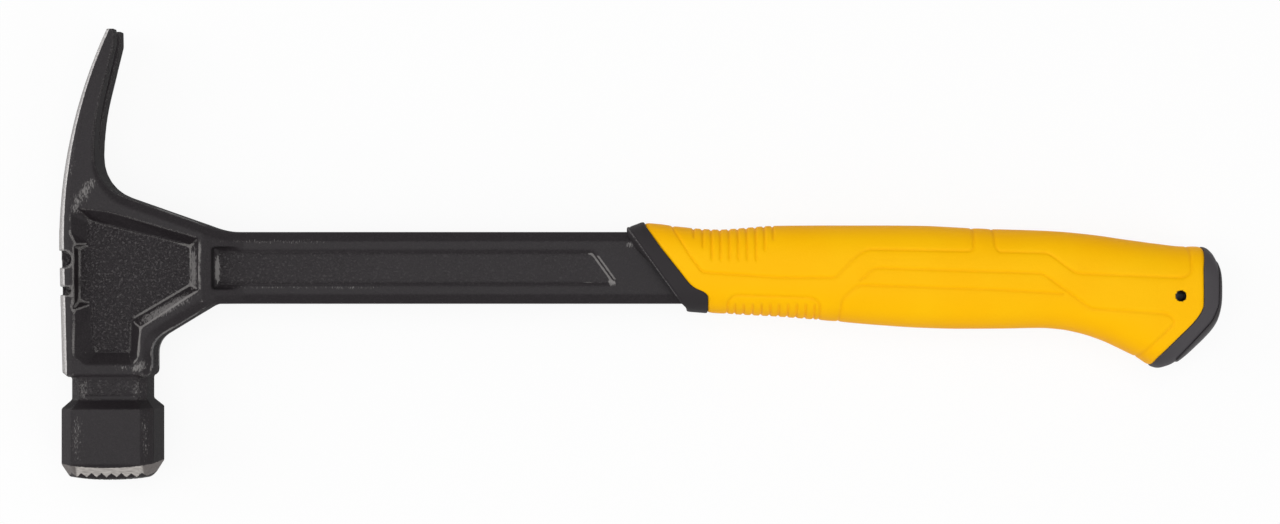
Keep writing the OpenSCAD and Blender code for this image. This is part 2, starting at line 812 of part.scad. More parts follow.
// Grooves round the pads of the grip in side view: places along the grip, and heights from
// the centreline, as shares of its length and of its depth
groove_shares = [
  [
    [0.078, 0.6], [0.078, 0.4], [0.106, 0.129], [0.127, -0.042], [0.258, -0.095],
    [0.351, -0.095], [0.386, 0.121], [0.404, 0.182], [0.575, 0.164], [0.582, 0.189], [0.586, 0.6]
  ],
  [
    [0.617, 0.6], [0.618, 0.216], [0.624, 0.158], [0.708, 0.146], [0.751, -0.045],
    [0.766, -0.058], [0.934, -0.095], [0.947, -0.04], [0.948, 0.6]
  ],
  [
    [0.392, -0.12], [0.416, 0], [0.698, -0.053], [0.777, -0.393], [0.787, -0.403],
    [0.907, -0.446], [0.92, -0.521], [0.862, -0.871], [0.807, -1.2]
  ],
  [
    [0.358, -1.2], [0.358, -0.503], [0.362, -0.303], [0.388, -0.165], [0.625, -0.213],
    [0.732, -0.253]
  ],
  [[0.17, -1.2], [0.17, -0.33], [0.181, -0.264], [0.313, -0.29], [0.325, -0.35], [0.325, -1.2]]
];
// Inner ends of the upper ribs: they run further down in the middle of their field
top_rib_shares = [0.279, 0.179, 0.058, 0.058, 0.058, 0.058, 0.058, 0.053, 0.153, 0.258];
low_rib_share = -0.334;

function along_grip(share) = [grip_start + grip_l * share[0], grip_h * share[1]];

module rib_groove(x, low_y, high_y) {
  translate([grip_start + x - rib_w / 2, low_y, -grip_t]) cube([rib_w, high_y - low_y, 2 * grip_t]);
}

// Band of a given width along a line of points
function band(points, width) =
  let (last = len(points) - 1, sides = inward(points) * width / 2)
  concat(
    [for (i = [0 : last]) points[i] + sides[i]],
    [for (i = [last : -1 : 0]) points[i] - sides[i]]
  );

// The grooves and ribs, as deep as the grip form sunk by its relief
module grip_relief() {
  difference() {
    union() {
      for (line = groove_shares)
        across(2 * grip_t) polygon(band([for (s = line) along_grip(s)], line_w));
      for (i = [0 : ribs - 1]) {
        rib_groove(top_rib_start + i * rib_pitch, grip_h * top_rib_shares[i], grip_h);
        rib_groove(low_rib_start + i * rib_pitch, -grip_h, grip_h * low_rib_share);
      }
    }
    grip_form(-relief);
  }
}

module grip_sleeve() {
  color(soft_yellow)
    difference() {
      intersection() {
        grip_form(0);
        across(2 * grip_t) polygon(concat(cap_front, collar_rear));
      }
      grip_relief();
      across(core_t) polygon(core_outline);
      tang();
      lanyard_hole();
    }
}

module butt_cap() {
  color(hard_black)
    intersection() {
      grip_form(0);
      across(2 * grip_t) polygon(concat(cap_front, back(pad_front)));
    }
}

module butt_pad() {
  color(hard_black)
    intersection() {
      grip_form(pad_proud);
      across(2 * grip_t)
        polygon(concat(pad_front, [[butt_x + over, -2 * grip_h], [butt_x + over, grip_h]]));
    }
}

module placed() {
  translate([-box_mid_x, -box_mid_y, -box_low_z]) children();
}

placed() forged_head_and_tang();
placed() nail_magnet();
placed() grip_core();
placed() front_collar();
placed() grip_sleeve();
placed() butt_cap();
placed() butt_pad();
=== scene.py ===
"""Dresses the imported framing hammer: soft forged steel, milled face, padded grip, studio."""

import bmesh
import bpy
import numpy as np
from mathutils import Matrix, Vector


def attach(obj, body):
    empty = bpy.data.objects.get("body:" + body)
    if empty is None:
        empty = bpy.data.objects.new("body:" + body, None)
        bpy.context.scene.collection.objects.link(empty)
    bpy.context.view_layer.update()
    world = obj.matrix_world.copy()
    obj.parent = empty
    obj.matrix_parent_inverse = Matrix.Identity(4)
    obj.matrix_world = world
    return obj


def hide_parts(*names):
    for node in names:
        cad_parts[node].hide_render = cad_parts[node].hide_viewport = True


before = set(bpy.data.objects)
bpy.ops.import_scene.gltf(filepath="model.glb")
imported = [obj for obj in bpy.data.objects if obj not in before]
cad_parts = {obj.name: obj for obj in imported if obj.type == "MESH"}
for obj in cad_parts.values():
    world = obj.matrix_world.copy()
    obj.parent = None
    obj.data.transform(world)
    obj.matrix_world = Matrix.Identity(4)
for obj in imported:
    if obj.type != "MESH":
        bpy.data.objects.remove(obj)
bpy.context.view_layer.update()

# The hammer is drawn in millimetres about the point where the striking axis crosses the
# shank centreline, with its middle plane at zero. This is where that point lies.
DRAWN_AT = np.array([-196.35, -4.75, 17.0])
MM = 0.001

# Sizes shared with the model's source
HEAD_BACK = 18.5
HEAD_LEAN = 1.2
HEAD_DROP = 40.3
CLAW_TOP_R = 190.0
CLAW_START_Y = 8.0
CLAW_RISE = 88.4
FACE_Y = -77.3
FACE_CHAMFER_H = 5.0
FACE_W = 28.0
FACE_CUT = 2.8
CROWN_R = 82.0
TOOTH_H = 1.6
TOOTH_DEPTH_SHARE = 0.9
TOOTH_PITCH = 2.6
GRIP_START = 191.2
GRIP_L = 220.0
GRIP_H = 38.0
GRIP_T = 30.0
GRIP_SQUARE = 2.7
BUTT_X = 411.2
LANYARD = (395.4, -10.3)
LANYARD_R = 1.95
# Width of the ground band along the top of the head
TOP_BAND = 2.05


def placed(points):
    """Turns points of the drawing, in millimetres, into metres in the frame."""
    return (np.asarray(points, dtype=float) + DRAWN_AT) * MM


def drawn(points):
    """Turns points of the frame, in metres, into millimetres in the drawing."""
    return np.asarray(points, dtype=float) / MM - DRAWN_AT


# Materials

class Finish:
    """One material, with short calls for the nodes that its finish is made of."""

    def __init__(self, name):
        self.material = bpy.data.materials.new(name)
        self.material.use_nodes = True
        self.tree = self.material.node_tree
        self.tree.nodes.clear()
        output = self.tree.nodes.new("ShaderNodeOutputMaterial")
        self.shader = self.tree.nodes.new("ShaderNodeBsdfPrincipled")
        self.tree.links.new(self.shader.outputs[0], output.inputs["Surface"])
        self.place = self.tree.nodes.new("ShaderNodeTexCoord").outputs["Object"]

    def put(self, value, socket):
        if isinstance(value, bpy.types.NodeSocket):
            self.tree.links.new(value, socket)
        else:
            socket.default_value = value

    def set(self, **values):
        for name, value in values.items():
            self.put(value, self.shader.inputs[name.replace("_", " ").title()])

    def sum(self, operation, first, second=0.0, third=None, clamp=False):
        node = self.tree.nodes.new("ShaderNodeMath")
        node.operation = operation
        node.use_clamp = clamp
        self.put(first, node.inputs[0])
        self.put(second, node.inputs[1])
        if third is not None:
            self.put(third, node.inputs[2])
        return node.outputs[0]

    def stretched(self, scale):
        node = self.tree.nodes.new("ShaderNodeMapping")
        node.inputs["Scale"].default_value = scale
        self.tree.links.new(self.place, node.inputs["Vector"])
        return node.outputs[0]

    def noise(self, scale, detail=3.0, rough=0.5, along=None, bend=0.0):
        node = self.tree.nodes.new("ShaderNodeTexNoise")
        node.inputs["Scale"].default_value = scale
        node.inputs["Detail"].default_value = detail
        node.inputs["Roughness"].default_value = rough
        node.inputs["Distortion"].default_value = bend
        self.tree.links.new(along or self.place, node.inputs["Vector"])
        return node.outputs["Fac"]

    def ramp(self, value, low, high, start=0.0, end=1.0):
        node = self.tree.nodes.new("ShaderNodeMapRange")
        node.interpolation_type = "SMOOTHSTEP"
        self.put(value, node.inputs["Value"])
        node.inputs["From Min"].default_value = low
        node.inputs["From Max"].default_value = high
        node.inputs["To Min"].default_value = start
        node.inputs["To Max"].default_value = end
        return node.outputs["Result"]

    def blend(self, share, first, second):
        node = self.tree.nodes.new("ShaderNodeMix")
        node.data_type = "RGBA"
        self.put(share, node.inputs["Factor"])
        self.put(first, node.inputs[6])
        self.put(second, node.inputs[7])
        return node.outputs[2]

    def axes(self, vector=None):
        node = self.tree.nodes.new("ShaderNodeSeparateXYZ")
        self.tree.links.new(vector or self.place, node.inputs[0])
        return node.outputs

    def mark(self, name):
        node = self.tree.nodes.new("ShaderNodeAttribute")
        node.attribute_name = name
        return node.outputs["Fac"]

    def bump(self, height, distance, strength=1.0, under=None):
        node = self.tree.nodes.new("ShaderNodeBump")
        node.inputs["Distance"].default_value = distance
        node.inputs["Strength"].default_value = strength
        self.put(height, node.inputs["Height"])
        if under is not None:
            self.tree.links.new(under, node.inputs["Normal"])
        return node.outputs[0]


def grey(value):
    return (value, value, value, 1.0)


def coated_steel():
    """Black satin coat over forged steel, ground bare along the top edges and the face."""
    coat = Finish("coated_steel")
    x, y, z = coat.axes()
    away_z = coat.sum("ABSOLUTE", coat.sum("SUBTRACT", z, DRAWN_AT[2] * MM))

    # Distance in from the top of the head and the back of the claw
    centre = placed([CLAW_TOP_R - HEAD_BACK, CLAW_START_Y, 0])
    rise = coat.sum("MAXIMUM", coat.sum("SUBTRACT", y, centre[1]), 0.0)
    fall = coat.sum("MAXIMUM", coat.sum("SUBTRACT", centre[1], y), 0.0)
    run = coat.sum("SUBTRACT", centre[0], x)
    squares = coat.sum("ADD", coat.sum("POWER", rise, 2.0), coat.sum("POWER", run, 2.0))
    spoke = coat.sum("SQRT", squares)
    lean = HEAD_LEAN / (CLAW_START_Y + HEAD_DROP)
    inset = coat.sum("SUBTRACT", CLAW_TOP_R * MM, spoke)
    inset = coat.sum("SUBTRACT", inset, coat.sum("MULTIPLY", fall, lean))
    width = coat.sum("MULTIPLY_ADD", rise, -0.6 * TOP_BAND / CLAW_RISE, TOP_BAND * MM)
    wander = coat.sum("SUBTRACT", coat.noise(900, 2), 0.5)
    past = coat.sum("MULTIPLY_ADD", wander, 0.0003, coat.sum("SUBTRACT", inset, width))
    top_band = coat.ramp(past, -0.00002, 0.00012, 1, 0)
    top_band = coat.sum("MULTIPLY", top_band, coat.ramp(away_z, 0.0084, 0.0088))
    underside = placed([0, -HEAD_DROP, 0])[1]
    top_band = coat.sum("MULTIPLY", top_band, coat.ramp(y, underside + 0.0004, underside + 0.001))

    # The ground chamfer round the striking face, with a border that sags in the middle
    face = placed([0, FACE_Y, 0])
    off_axis = coat.sum("SUBTRACT", x, face[0])
    sag = coat.sum("MINIMUM", coat.sum("MULTIPLY", coat.sum("POWER", off_axis, 2.0), 5.0), 0.002)
    edge = coat.sum("SUBTRACT", y, face[1] + (FACE_CHAMFER_H - 1.2) * MM)
    edge = coat.sum("MULTIPLY_ADD", wander, 0.0005, coat.sum("SUBTRACT", edge, sag))
    face_band = coat.ramp(edge, -0.0001, 0.0001, 1, 0)
    # The roots of the teeth eat into the lower border of that chamfer
    turns = coat.sum("PINGPONG", coat.sum("DIVIDE", off_axis, TOOTH_PITCH * 2 ** 0.5 * MM), 0.5)
    root = coat.sum("MULTIPLY_ADD", turns, 0.0032, float(face[1]) + 0.0003)
    root = coat.sum("MULTIPLY_ADD", wander, 0.0006, root)
    above_root = coat.sum("SUBTRACT", y, root)
    face_band = coat.sum("MULTIPLY", face_band, coat.ramp(above_root, -0.00008, 0.00008))

    # Wear and painted sheen along the edges, scuffs and painted highlights, and painted glints on the
    # cast floors
    cast = coat.mark("cast")
    wall = coat.mark("wall")
    grit = coat.sum("SUBTRACT", coat.noise(2600, 3, 0.6), 0.5)
    worn_and_sheen = coat.ramp(coat.sum("MULTIPLY_ADD", grit, 0.9, coat.mark("edge")), 0.42, 0.9)
    streaks = coat.sum("SUBTRACT", coat.noise(1300, 4, 0.65, coat.stretched((2.0, 0.6, 1))), 0.5)
    lightened = coat.ramp(coat.sum("MULTIPLY_ADD", streaks, 2.8, coat.mark("scuff_and_highlight")), 0.5, 1.1)
    peel = coat.noise(1250, 2, 0.55, None, 0.8)
    painted_glints = coat.sum("MULTIPLY", coat.ramp(peel, 0.5, 0.7), coat.sum("MULTIPLY_ADD", cast, 0.9, 0.1))

    grain = coat.noise(2400, 2, 0.6)
    cloud = coat.noise(60, 3)
    black = coat.blend(
        coat.ramp(grain, 0.4, 0.8), (0.0085, 0.0065, 0.0078, 1), (0.021, 0.017, 0.0195, 1)
    )
    black = coat.blend(coat.ramp(cloud, 0.35, 0.75, 0, 0.4), black, (0.014, 0.0112, 0.013, 1))
    # Painted glints: light specks over the cast floors
    black = coat.blend(coat.sum("MULTIPLY", painted_glints, 0.7), black, (0.085, 0.078, 0.08, 1))
    # Painted shade: darker on the steep sides
    black = coat.blend(coat.sum("MULTIPLY", wall, 0.6), black, (0.005, 0.004, 0.0045, 1))
    # Wear and painted sheen: lighter along bent edges, hollow ones too
    black = coat.blend(coat.sum("MULTIPLY", worn_and_sheen, 0.75), black, (0.21, 0.2, 0.195, 1))
    # Scuffs and painted highlights: lighter patches from the table
    black = coat.blend(coat.sum("MULTIPLY", lightened, 0.8), black, (0.2, 0.19, 0.187, 1))
    brush = coat.noise(3000, 2, 0.6, coat.stretched((0.12, 1, 1)))
    steel = coat.blend(coat.ramp(brush, 0.3, 0.7), (0.2, 0.192, 0.19, 1), (0.32, 0.308, 0.305, 1))
    pale = coat.blend(coat.ramp(brush, 0.3, 0.7), (0.27, 0.25, 0.236, 1), (0.48, 0.45, 0.425, 1))
    # Painted shade: the face's chamfer darker at its facets at both ends
    corner = coat.ramp(coat.sum("ABSOLUTE", coat.sum("SUBTRACT", off_axis, 0.0012)), 0.0118, 0.0126)
    pale = coat.blend(coat.sum("MULTIPLY", corner, 0.85), pale, (0.1, 0.088, 0.085, 1))
    colour = coat.blend(top_band, black, steel)
    coat.set(base_color=coat.blend(face_band, colour, pale))
    bare = coat.sum("MAXIMUM", top_band, coat.sum("MULTIPLY", face_band, 0.35))
    coat.set(metallic=bare)
    dull = coat.ramp(grain, 0.3, 0.75, 0.38, 0.54)
    dull = coat.sum("MULTIPLY_ADD", wall, 0.45, dull, True)
    coat.set(roughness=coat.sum("MULTIPLY_ADD", bare, -0.06, dull))
    coat.shader.inputs["Specular IOR Level"].default_value = 0.18
    depth = coat.sum("MULTIPLY", peel, coat.sum("MULTIPLY_ADD", cast, 0.85, 0.15))
    skin = coat.bump(depth, 0.0007, 1.0)
    coat.set(normal=coat.bump(grain, 0.00012, 0.6, skin))
    return coat.material


def ground_steel():
    """Milled teeth: black steel, a little lighter at the tips."""
    teeth = Finish("milled_steel")
    y = teeth.axes()[1]
    tip = placed([0, FACE_Y - TOOTH_H, 0])
    high = teeth.ramp(y, tip[1] + 0.0002, tip[1] + 0.001, 1, 0)
    speck = teeth.noise(2200, 3, 0.6)
    colour = teeth.blend(
        teeth.ramp(speck, 0.3, 0.7), (0.008, 0.007, 0.007, 1), (0.026, 0.023, 0.022, 1)
    )
    colour = teeth.blend(teeth.sum("MULTIPLY", high, 0.3), colour, (0.12, 0.114, 0.11, 1))
    teeth.shader.inputs["Specular IOR Level"].default_value = 0.2
    teeth.set(base_color=colour, metallic=0.15, roughness=teeth.ramp(speck, 0.3, 0.7, 0.5, 0.7))
    teeth.set(normal=teeth.bump(speck, 0.00005, 0.6))
    return teeth.material


def soft_yellow():
    """Satin yellow elastomer, with painted shade darkening its grooves and deepening the orange round
    its top and bottom edges.
    """
    skin = Finish("soft_yellow")
    fine = skin.noise(2600, 3, 0.6)
    cloud = skin.noise(45, 3)
    colour = skin.blend(skin.ramp(cloud, 0.3, 0.75), (0.985, 0.505, 0.0, 1), (0.99, 0.53, 0.001, 1))
    colour = skin.blend(skin.ramp(fine, 0.35, 0.75, 0, 0.1), colour, (0.92, 0.43, 0.0, 1))
    # Painted shade: darker in the grooves
    colour = skin.blend(skin.sum("MULTIPLY", skin.mark("groove"), 0.2), colour, (0.76, 0.28, 0.0, 1))
    # Painted shade: deeper orange round the top and bottom edges
    colour = skin.blend(skin.sum("MULTIPLY", skin.mark("turn"), 0.75), colour, (0.94, 0.39, 0.0, 1))
    colour = skin.blend(skin.mark("bore"), colour, (0.006, 0.005, 0.005, 1))
    skin.set(base_color=colour)
    skin.set(roughness=skin.ramp(fine, 0.3, 0.75, 0.5, 0.64))
    skin.shader.inputs["Specular IOR Level"].default_value = 0.07
    grain = skin.bump(skin.noise(1100, 2), 0.00006, 0.5)
    skin.set(normal=skin.bump(fine, 0.00003, 0.6, grain))
    return skin.material


def black_plastic(name, light, dark, shine, grit):
    """Moulded black part with a fine grained skin, duller where marked, with a painted speckled
    highlight along its lip.
    """
    plastic = Finish(name)
    fine = plastic.noise(3000, 3, 0.6)
    cloud = plastic.noise(90, 3)
    flat = plastic.mark("flat")
    shade = tuple(0.8 * v for v in dark[:3]) + (1,)
    colour = plastic.blend(plastic.ramp(fine, 0.35, 0.75), dark, light)
    colour = plastic.blend(plastic.ramp(cloud, 0.35, 0.75, 0, 0.3), colour, shade)
    colour = plastic.blend(plastic.sum("MULTIPLY", flat, 0.6), colour, shade)
    # Painted highlight: light specks along the marked lip
    speckle = plastic.sum("SUBTRACT", plastic.noise(2200, 2, 0.6), 0.5)
    lip = plastic.ramp(plastic.sum("MULTIPLY_ADD", speckle, 2.4, plastic.mark("lip")), 0.7, 1.2)
    colour = plastic.blend(plastic.sum("MULTIPLY", lip, 0.5), colour, (0.16, 0.15, 0.15, 1))
    plastic.set(base_color=colour)
    dull = plastic.ramp(fine, 0.3, 0.75, shine - 0.06, shine + 0.08)
    plastic.set(roughness=plastic.sum("MULTIPLY_ADD", flat, 0.3, dull, True))
    plastic.shader.inputs["Specular IOR Level"].default_value = 0.26
    body = plastic.bump(plastic.noise(1400, 2), 0.00006, 0.5)
    plastic.set(normal=plastic.bump(fine, grit, 0.7, body))
    return plastic.material


def nickel_magnet():
    """Plain nickel, finely brushed along the hammer."""
    metal = Finish("plain_nickel")
    lines = metal.noise(2500, 2, 0.6, metal.stretched((0.1, 1, 1)))
    colour = metal.blend(
        metal.ramp(lines, 0.3, 0.7), (0.42, 0.41, 0.39, 1), (0.56, 0.55, 0.52, 1)
    )
    metal.set(base_color=colour)
    metal.set(metallic=1.0, roughness=metal.ramp(lines, 0.3, 0.7, 0.26, 0.38))
    metal.set(normal=metal.bump(lines, 0.00002, 0.5))
    return metal.material


# Mesh helpers

def new_piece(name, points, faces, material, smooth=True):
    """A closed mesh in metres, whose object sits at the origin."""
    mesh = bpy.data.meshes.new(name)
    mesh.from_pydata([tuple(p) for p in points], [], faces)
    mesh.materials.append(material)
    mesh.polygons.foreach_set("use_smooth", [smooth] * len(mesh.polygons))
    mesh.update()
    piece = bpy.data.objects.new(name, mesh)
    bpy.context.scene.collection.objects.link(piece)
    return piece


def settled(piece):
    """Applies a piece's modifiers and leaves it a plain mesh."""
    graph = bpy.context.evaluated_depsgraph_get()
    mesh = bpy.data.meshes.new_from_object(piece.evaluated_get(graph))
    mesh.name = piece.name
    piece.modifiers.clear()
    piece.data = mesh
    return piece


def vertices(mesh):
    values = np.empty(len(mesh.vertices) * 3)
    mesh.vertices.foreach_get("co", values)
    return values.reshape(-1, 3)


def mark(mesh, name, values):
    """Keeps one number per vertex for the material."""
    layer = mesh.attributes.new(name, "FLOAT", "POINT")
    layer.data.foreach_set("value", np.asarray(values, dtype=np.float32))


def facing_out(mesh):
    work = bmesh.new()
    work.from_mesh(mesh)
    bmesh.ops.recalc_face_normals(work, faces=work.faces)
    work.to_mesh(mesh)
    work.free()


def smooth_curve(at, table):
    """Monotone cubic through the rows of a table: first column place, the rest values."""
    table = np.asarray(table, dtype=float)
    knots, values = table[:, 0], table[:, 1:]
    gap = np.diff(knots)[:, None]
    slope = np.diff(values, axis=0) / gap
    tangent = np.zeros_like(values)
    tangent[0], tangent[-1] = slope[0], slope[-1]
    same = slope[:-1] * slope[1:] > 0
    with np.errstate(divide="ignore", invalid="ignore"):
        first = 2 * gap[1:] + gap[:-1]
        second = gap[1:] + 2 * gap[:-1]
        mean = (first + second) / (first / slope[:-1] + second / slope[1:])
    tangent[1:-1] = np.where(same, mean, 0)
    at = np.asarray(at, dtype=float)
    k = np.clip(np.searchsorted(knots, at) - 1, 0, len(knots) - 2)
    t = ((at - knots[k]) / (knots[k + 1] - knots[k]))[..., None]
    step = (knots[k + 1] - knots[k])[..., None]
    low, high = values[k], values[k + 1]
    return (
        (1 + 2 * t) * (1 - t) ** 2 * low + t * (1 - t) ** 2 * step * tangent[k]
        + t * t * (3 - 2 * t) * high + t * t * (t - 1) * step * tangent[k + 1]
    )


def rounded_line(points, radius, steps=6):
    """An open line with its inner corners turned into arcs."""
    points = np.asarray(points, dtype=float)
    out = [points[0]]
    for before, corner, after in zip(points[:-2], points[1:-1], points[2:]):
        into, away = before - corner, after - corner
        a, b = np.linalg.norm(into), np.linalg.norm(away)
        cut = min(radius, 0.45 * a, 0.45 * b)
        start, end = corner + into / a * cut, corner + away / b * cut
        for t in np.linspace(0, 1, steps + 1):
            out.append((1 - t) ** 2 * start + 2 * t * (1 - t) * corner + t * t * end)
    out.append(points[-1])
    return np.array(out)


def from_line(x, y, line):
    """Distance of each point from an open line."""
    best = np.full(x.shape, 1e9)
    for (ax, ay), (bx, by) in zip(line[:-1], line[1:]):
        dx, dy = bx - ax, by - ay
        share = np.clip(((x - ax) * dx + (y - ay) * dy) / (dx * dx + dy * dy + 1e-12), 0, 1)
        best = np.minimum(best, np.hypot(x - ax - share * dx, y - ay - share * dy))
    return best


# Grip: sections and edge lines as in the model's source

GRIP_SHARES = [
    (-0.006, 0.382, -0.39, 0.66), (0.004, 0.394, -0.397, 0.69), (0.016, 0.418, -0.4, 0.73),
    (0.029, 0.441, -0.403, 0.76), (0.057, 0.43, -0.41, 0.8), (0.091, 0.404, -0.418, 0.84),
    (0.125, 0.384, -0.432, 0.86), (0.158, 0.376, -0.447, 0.88), (0.193, 0.389, -0.459, 0.9),
    (0.25, 0.413, -0.476, 0.93), (0.336, 0.416, -0.516, 0.97), (0.432, 0.416, -0.563, 1),
    (0.498, 0.413, -0.587, 1), (0.566, 0.395, -0.597, 0.98), (0.633, 0.379, -0.595, 0.95),
    (0.701, 0.366, -0.589, 0.93), (0.735, 0.355, -0.603, 0.93), (0.769, 0.337, -0.642, 0.94),
    (0.804, 0.313, -0.708, 0.95), (0.837, 0.284, -0.795, 0.97), (0.87, 0.258, -0.895, 0.98),
    (0.886, 0.245, -0.953, 0.98), (0.899, 0.236, -0.975, 0.98), (0.915, 0.224, -0.955, 0.98),
    (0.932, 0.214, -0.902, 0.97), (0.965, 0.21, -0.736, 0.95), (0.978, 0.195, -0.662, 0.93),
    (0.987, 0.155, -0.606, 0.9), (0.995, 0.075, -0.536, 0.86), (1, 0.005, -0.444, 0.76),
]
COLLAR_FRONT = [(0, 0.6), (0, 0.42), (0.008, 0.379), (0.532, -0.347), (0.592, -0.408), (0.592, -0.6)]
COLLAR_REAR = [
    (0.14, 0.6), (0.189, 0.418), (0.353, 0.182), (0.508, -0.018), (0.613, -0.155),
    (0.658, -0.195), (0.755, -0.237), (0.795, -0.279), (0.795, -0.6),
]
CAP_FRONT = [
    (-0.16, 0.6), (-0.16, 0.2), (-0.19, -0.02), (-0.19, -0.382), (-0.226, -0.455),
    (-0.287, -0.534), (-0.476, -0.724), (-0.624, -0.882), (-0.663, -0.955), (-0.663, -1.2),
]
PAD_FRONT = [
    (-0.03, 0.6), (-0.03, 0.045), (-0.042, -0.38), (-0.1, -0.525), (-0.44, -0.905),
    (-0.405, -0.93), (-0.405, -1.2),
]
PAD_LINES = [
    [
        (0.078, 0.6), (0.078, 0.4), (0.106, 0.129), (0.127, -0.042), (0.258, -0.095),
        (0.351, -0.095), (0.386, 0.121), (0.404, 0.182), (0.575, 0.164), (0.582, 0.189), (0.586, 0.6),
    ],
    [
        (0.617, 0.6), (0.618, 0.216), (0.624, 0.158), (0.708, 0.146), (0.751, -0.045),
        (0.766, -0.058), (0.934, -0.095), (0.947, -0.04), (0.948, 0.6),
    ],
    [
        (0.392, -0.12), (0.416, 0), (0.698, -0.053), (0.777, -0.393), (0.787, -0.403),
        (0.907, -0.446), (0.92, -0.521), (0.862, -0.871), (0.807, -1.2),
    ],
    [
        (0.358, -1.2), (0.358, -0.503), (0.362, -0.303), (0.388, -0.165), (0.625, -0.213),
        (0.732, -0.253),
    ],
    [(0.17, -1.2), (0.17, -0.33), (0.181, -0.264), (0.313, -0.29), (0.325, -0.35), (0.325, -1.2)],
]
TOP_RIB_START = 25.0
LOW_RIB_START = 40.2
RIB_PITCH = 3.26
TOP_RIB_ENDS = (0.279, 0.179, 0.058, 0.058, 0.058, 0.058, 0.058, 0.053, 0.153, 0.258)
LOW_RIB_END = -0.334
# How far the inner walls lie under the grip form: the deep ones, and the sleeve's at its ends
CORE_GROW = -6.2
SLEEVE_END_GROW = -1.6
COLLAR_BORE_GROW = -6.6
# Width and depth of the pads' lines, and reach and depth of the dip beside them
LINE_WIDTH = 0.44
LINE_DEPTH = 0.34
LINE_CORNER_R = 1.8
DIP_REACH = 1.6
DIP_DEPTH = 0.18
# Half width, run-out and depth of the rib grooves, and the half width that is shaded
RIB_HALF_W = 0.85
RIB_RUN_OUT = 1.6
RIB_DEPTH = 0.55
RIB_SHADE_HALF_W = 0.7
# Reach and depth of the rounding at the sleeve's ends
END_REACH = 0.55
END_DEPTH = 0.45


def edge_of(shares, start, radius=1.6):
    """Place along the grip of an edge line, as a function of the height."""
    line = rounded_line([(start + GRIP_H * a, GRIP_H * b) for a, b in shares], radius)
    line = line[np.argsort(line[:, 1], kind="stable")]
    return lambda y: np.interp(y, line[:, 1], line[:, 0])


collar_front_at = edge_of(COLLAR_FRONT, GRIP_START, 0.8)
collar_rear_at = edge_of(COLLAR_REAR, GRIP_START)
cap_front_at = edge_of(CAP_FRONT, BUTT_X)
pad_front_at = edge_of(PAD_FRONT, BUTT_X)


def round_the_grip(count, side_share):
    """Angles round the section, closer together on its sides than on its top and bottom."""
    usual_half_height = 18.6
    sides_from = 11
    fine = np.linspace(0, 2 * np.pi, 20001)
    c, s = np.cos(fine), np.sin(fine)
    power = 2 / GRIP_SQUARE
    high = usual_half_height * np.sign(c) * np.abs(c) ** power
    deep = GRIP_T / 2 * np.sign(s) * np.abs(s) ** power
    step = np.hypot(np.diff(high), np.diff(deep))
    on_side = np.abs(deep[1:]) > sides_from
    weight = np.concatenate([[0], np.cumsum(step * np.where(on_side, side_share, 1))])
    return np.interp(np.arange(count) / count * weight[-1], weight, fine)


def grip_skin(x, angle, grow):
    """Points of the grip form, grown by a given amount, in the drawing."""
    size = smooth_curve((np.clip(x, GRIP_START - 1.32, BUTT_X) - GRIP_START) / GRIP_L, GRIP_SHARES)
    top, low, thick = GRIP_H * size[..., 0], GRIP_H * size[..., 1], GRIP_T * size[..., 2]
    c, s = np.cos(angle), np.sin(angle)
    power = 2 / GRIP_SQUARE
    y = (top + low) / 2 + ((top - low) / 2 + grow) * np.sign(c) * np.abs(c) ** power
    z = (thick / 2 + grow) * np.sign(s) * np.abs(s) ** power
    return np.stack([x + 0 * y, y, z], axis=-1)


def where_it_meets(edge_at, angles, grow, low_x, high_x):
    """For each angle, where the grip form crosses an edge line."""
    scan = np.linspace(low_x, high_x, 1400)
    y = grip_skin(scan[:, None], angles[None, :], grow)[..., 1]
    past = scan[:, None] - edge_at(y)
    first = np.argmax(past > 0, axis=0)
    first = np.clip(first, 1, len(scan) - 1)
    col = np.arange(len(angles))
    before, after = past[first - 1, col], past[first, col]
    share = np.where(after > before, -before / (after - before + 1e-12), 0)
    return scan[first - 1] + np.clip(share, 0, 1) * (scan[1] - scan[0])


def ring_faces(rows, columns, wrap):
    """Quads between the rows of a grid that closes on itself round the section."""
    faces = []
    last = rows if wrap else rows - 1
    for r in range(last):
        a, b = r * columns, ((r + 1) % rows) * columns
        for c in range(columns):
            d = (c + 1) % columns
            faces.append((a + c, b + c, b + d, a + d))
    return faces


def normals_of(grid):
    along = np.gradient(grid, axis=0)
    wrapped = np.concatenate([grid[:, -1:], grid, grid[:, :1]], axis=1)
    around = (wrapped[:, 2:] - wrapped[:, :-2]) / 2
    normal = np.cross(around, along)
    normal /= np.linalg.norm(normal, axis=-1, keepdims=True) + 1e-12
    middle = grid - grid.mean(axis=1, keepdims=True)
    flip = np.sign((normal * middle).sum(axis=-1, keepdims=True).sum(axis=(0, 1)))
    return normal * flip


def bell_curve(distance, width):
    return np.exp(-(distance / width) ** 2)


def from_pad_lines(x, y):
    """Distance from the nearest line round a pad."""
    near = np.full(x.shape, 1e9)
    for shares in PAD_LINES:
        corners = [(GRIP_START + GRIP_L * a, GRIP_H * b) for a, b in shares]
        near = np.minimum(near, from_line(x, y, rounded_line(corners, LINE_CORNER_R)))
    return near


def rib_depth(x, y, half_width, run_out):
    """How deep a place lies in the nearest rib groove, from 0 to 1."""
    depth = np.zeros_like(x)
    for i, high in enumerate(TOP_RIB_ENDS):
        for start, inside in (
            (TOP_RIB_START, (y - GRIP_H * high) / run_out),
            (LOW_RIB_START, (GRIP_H * LOW_RIB_END - y) / run_out),
        ):
            across = np.clip(np.abs(x - (GRIP_START + start + i * RIB_PITCH)) / half_width, 0, 1)
            depth = np.maximum(depth, np.clip(inside, 0, 1) * (0.5 + 0.5 * np.cos(np.pi * across)))
    return depth


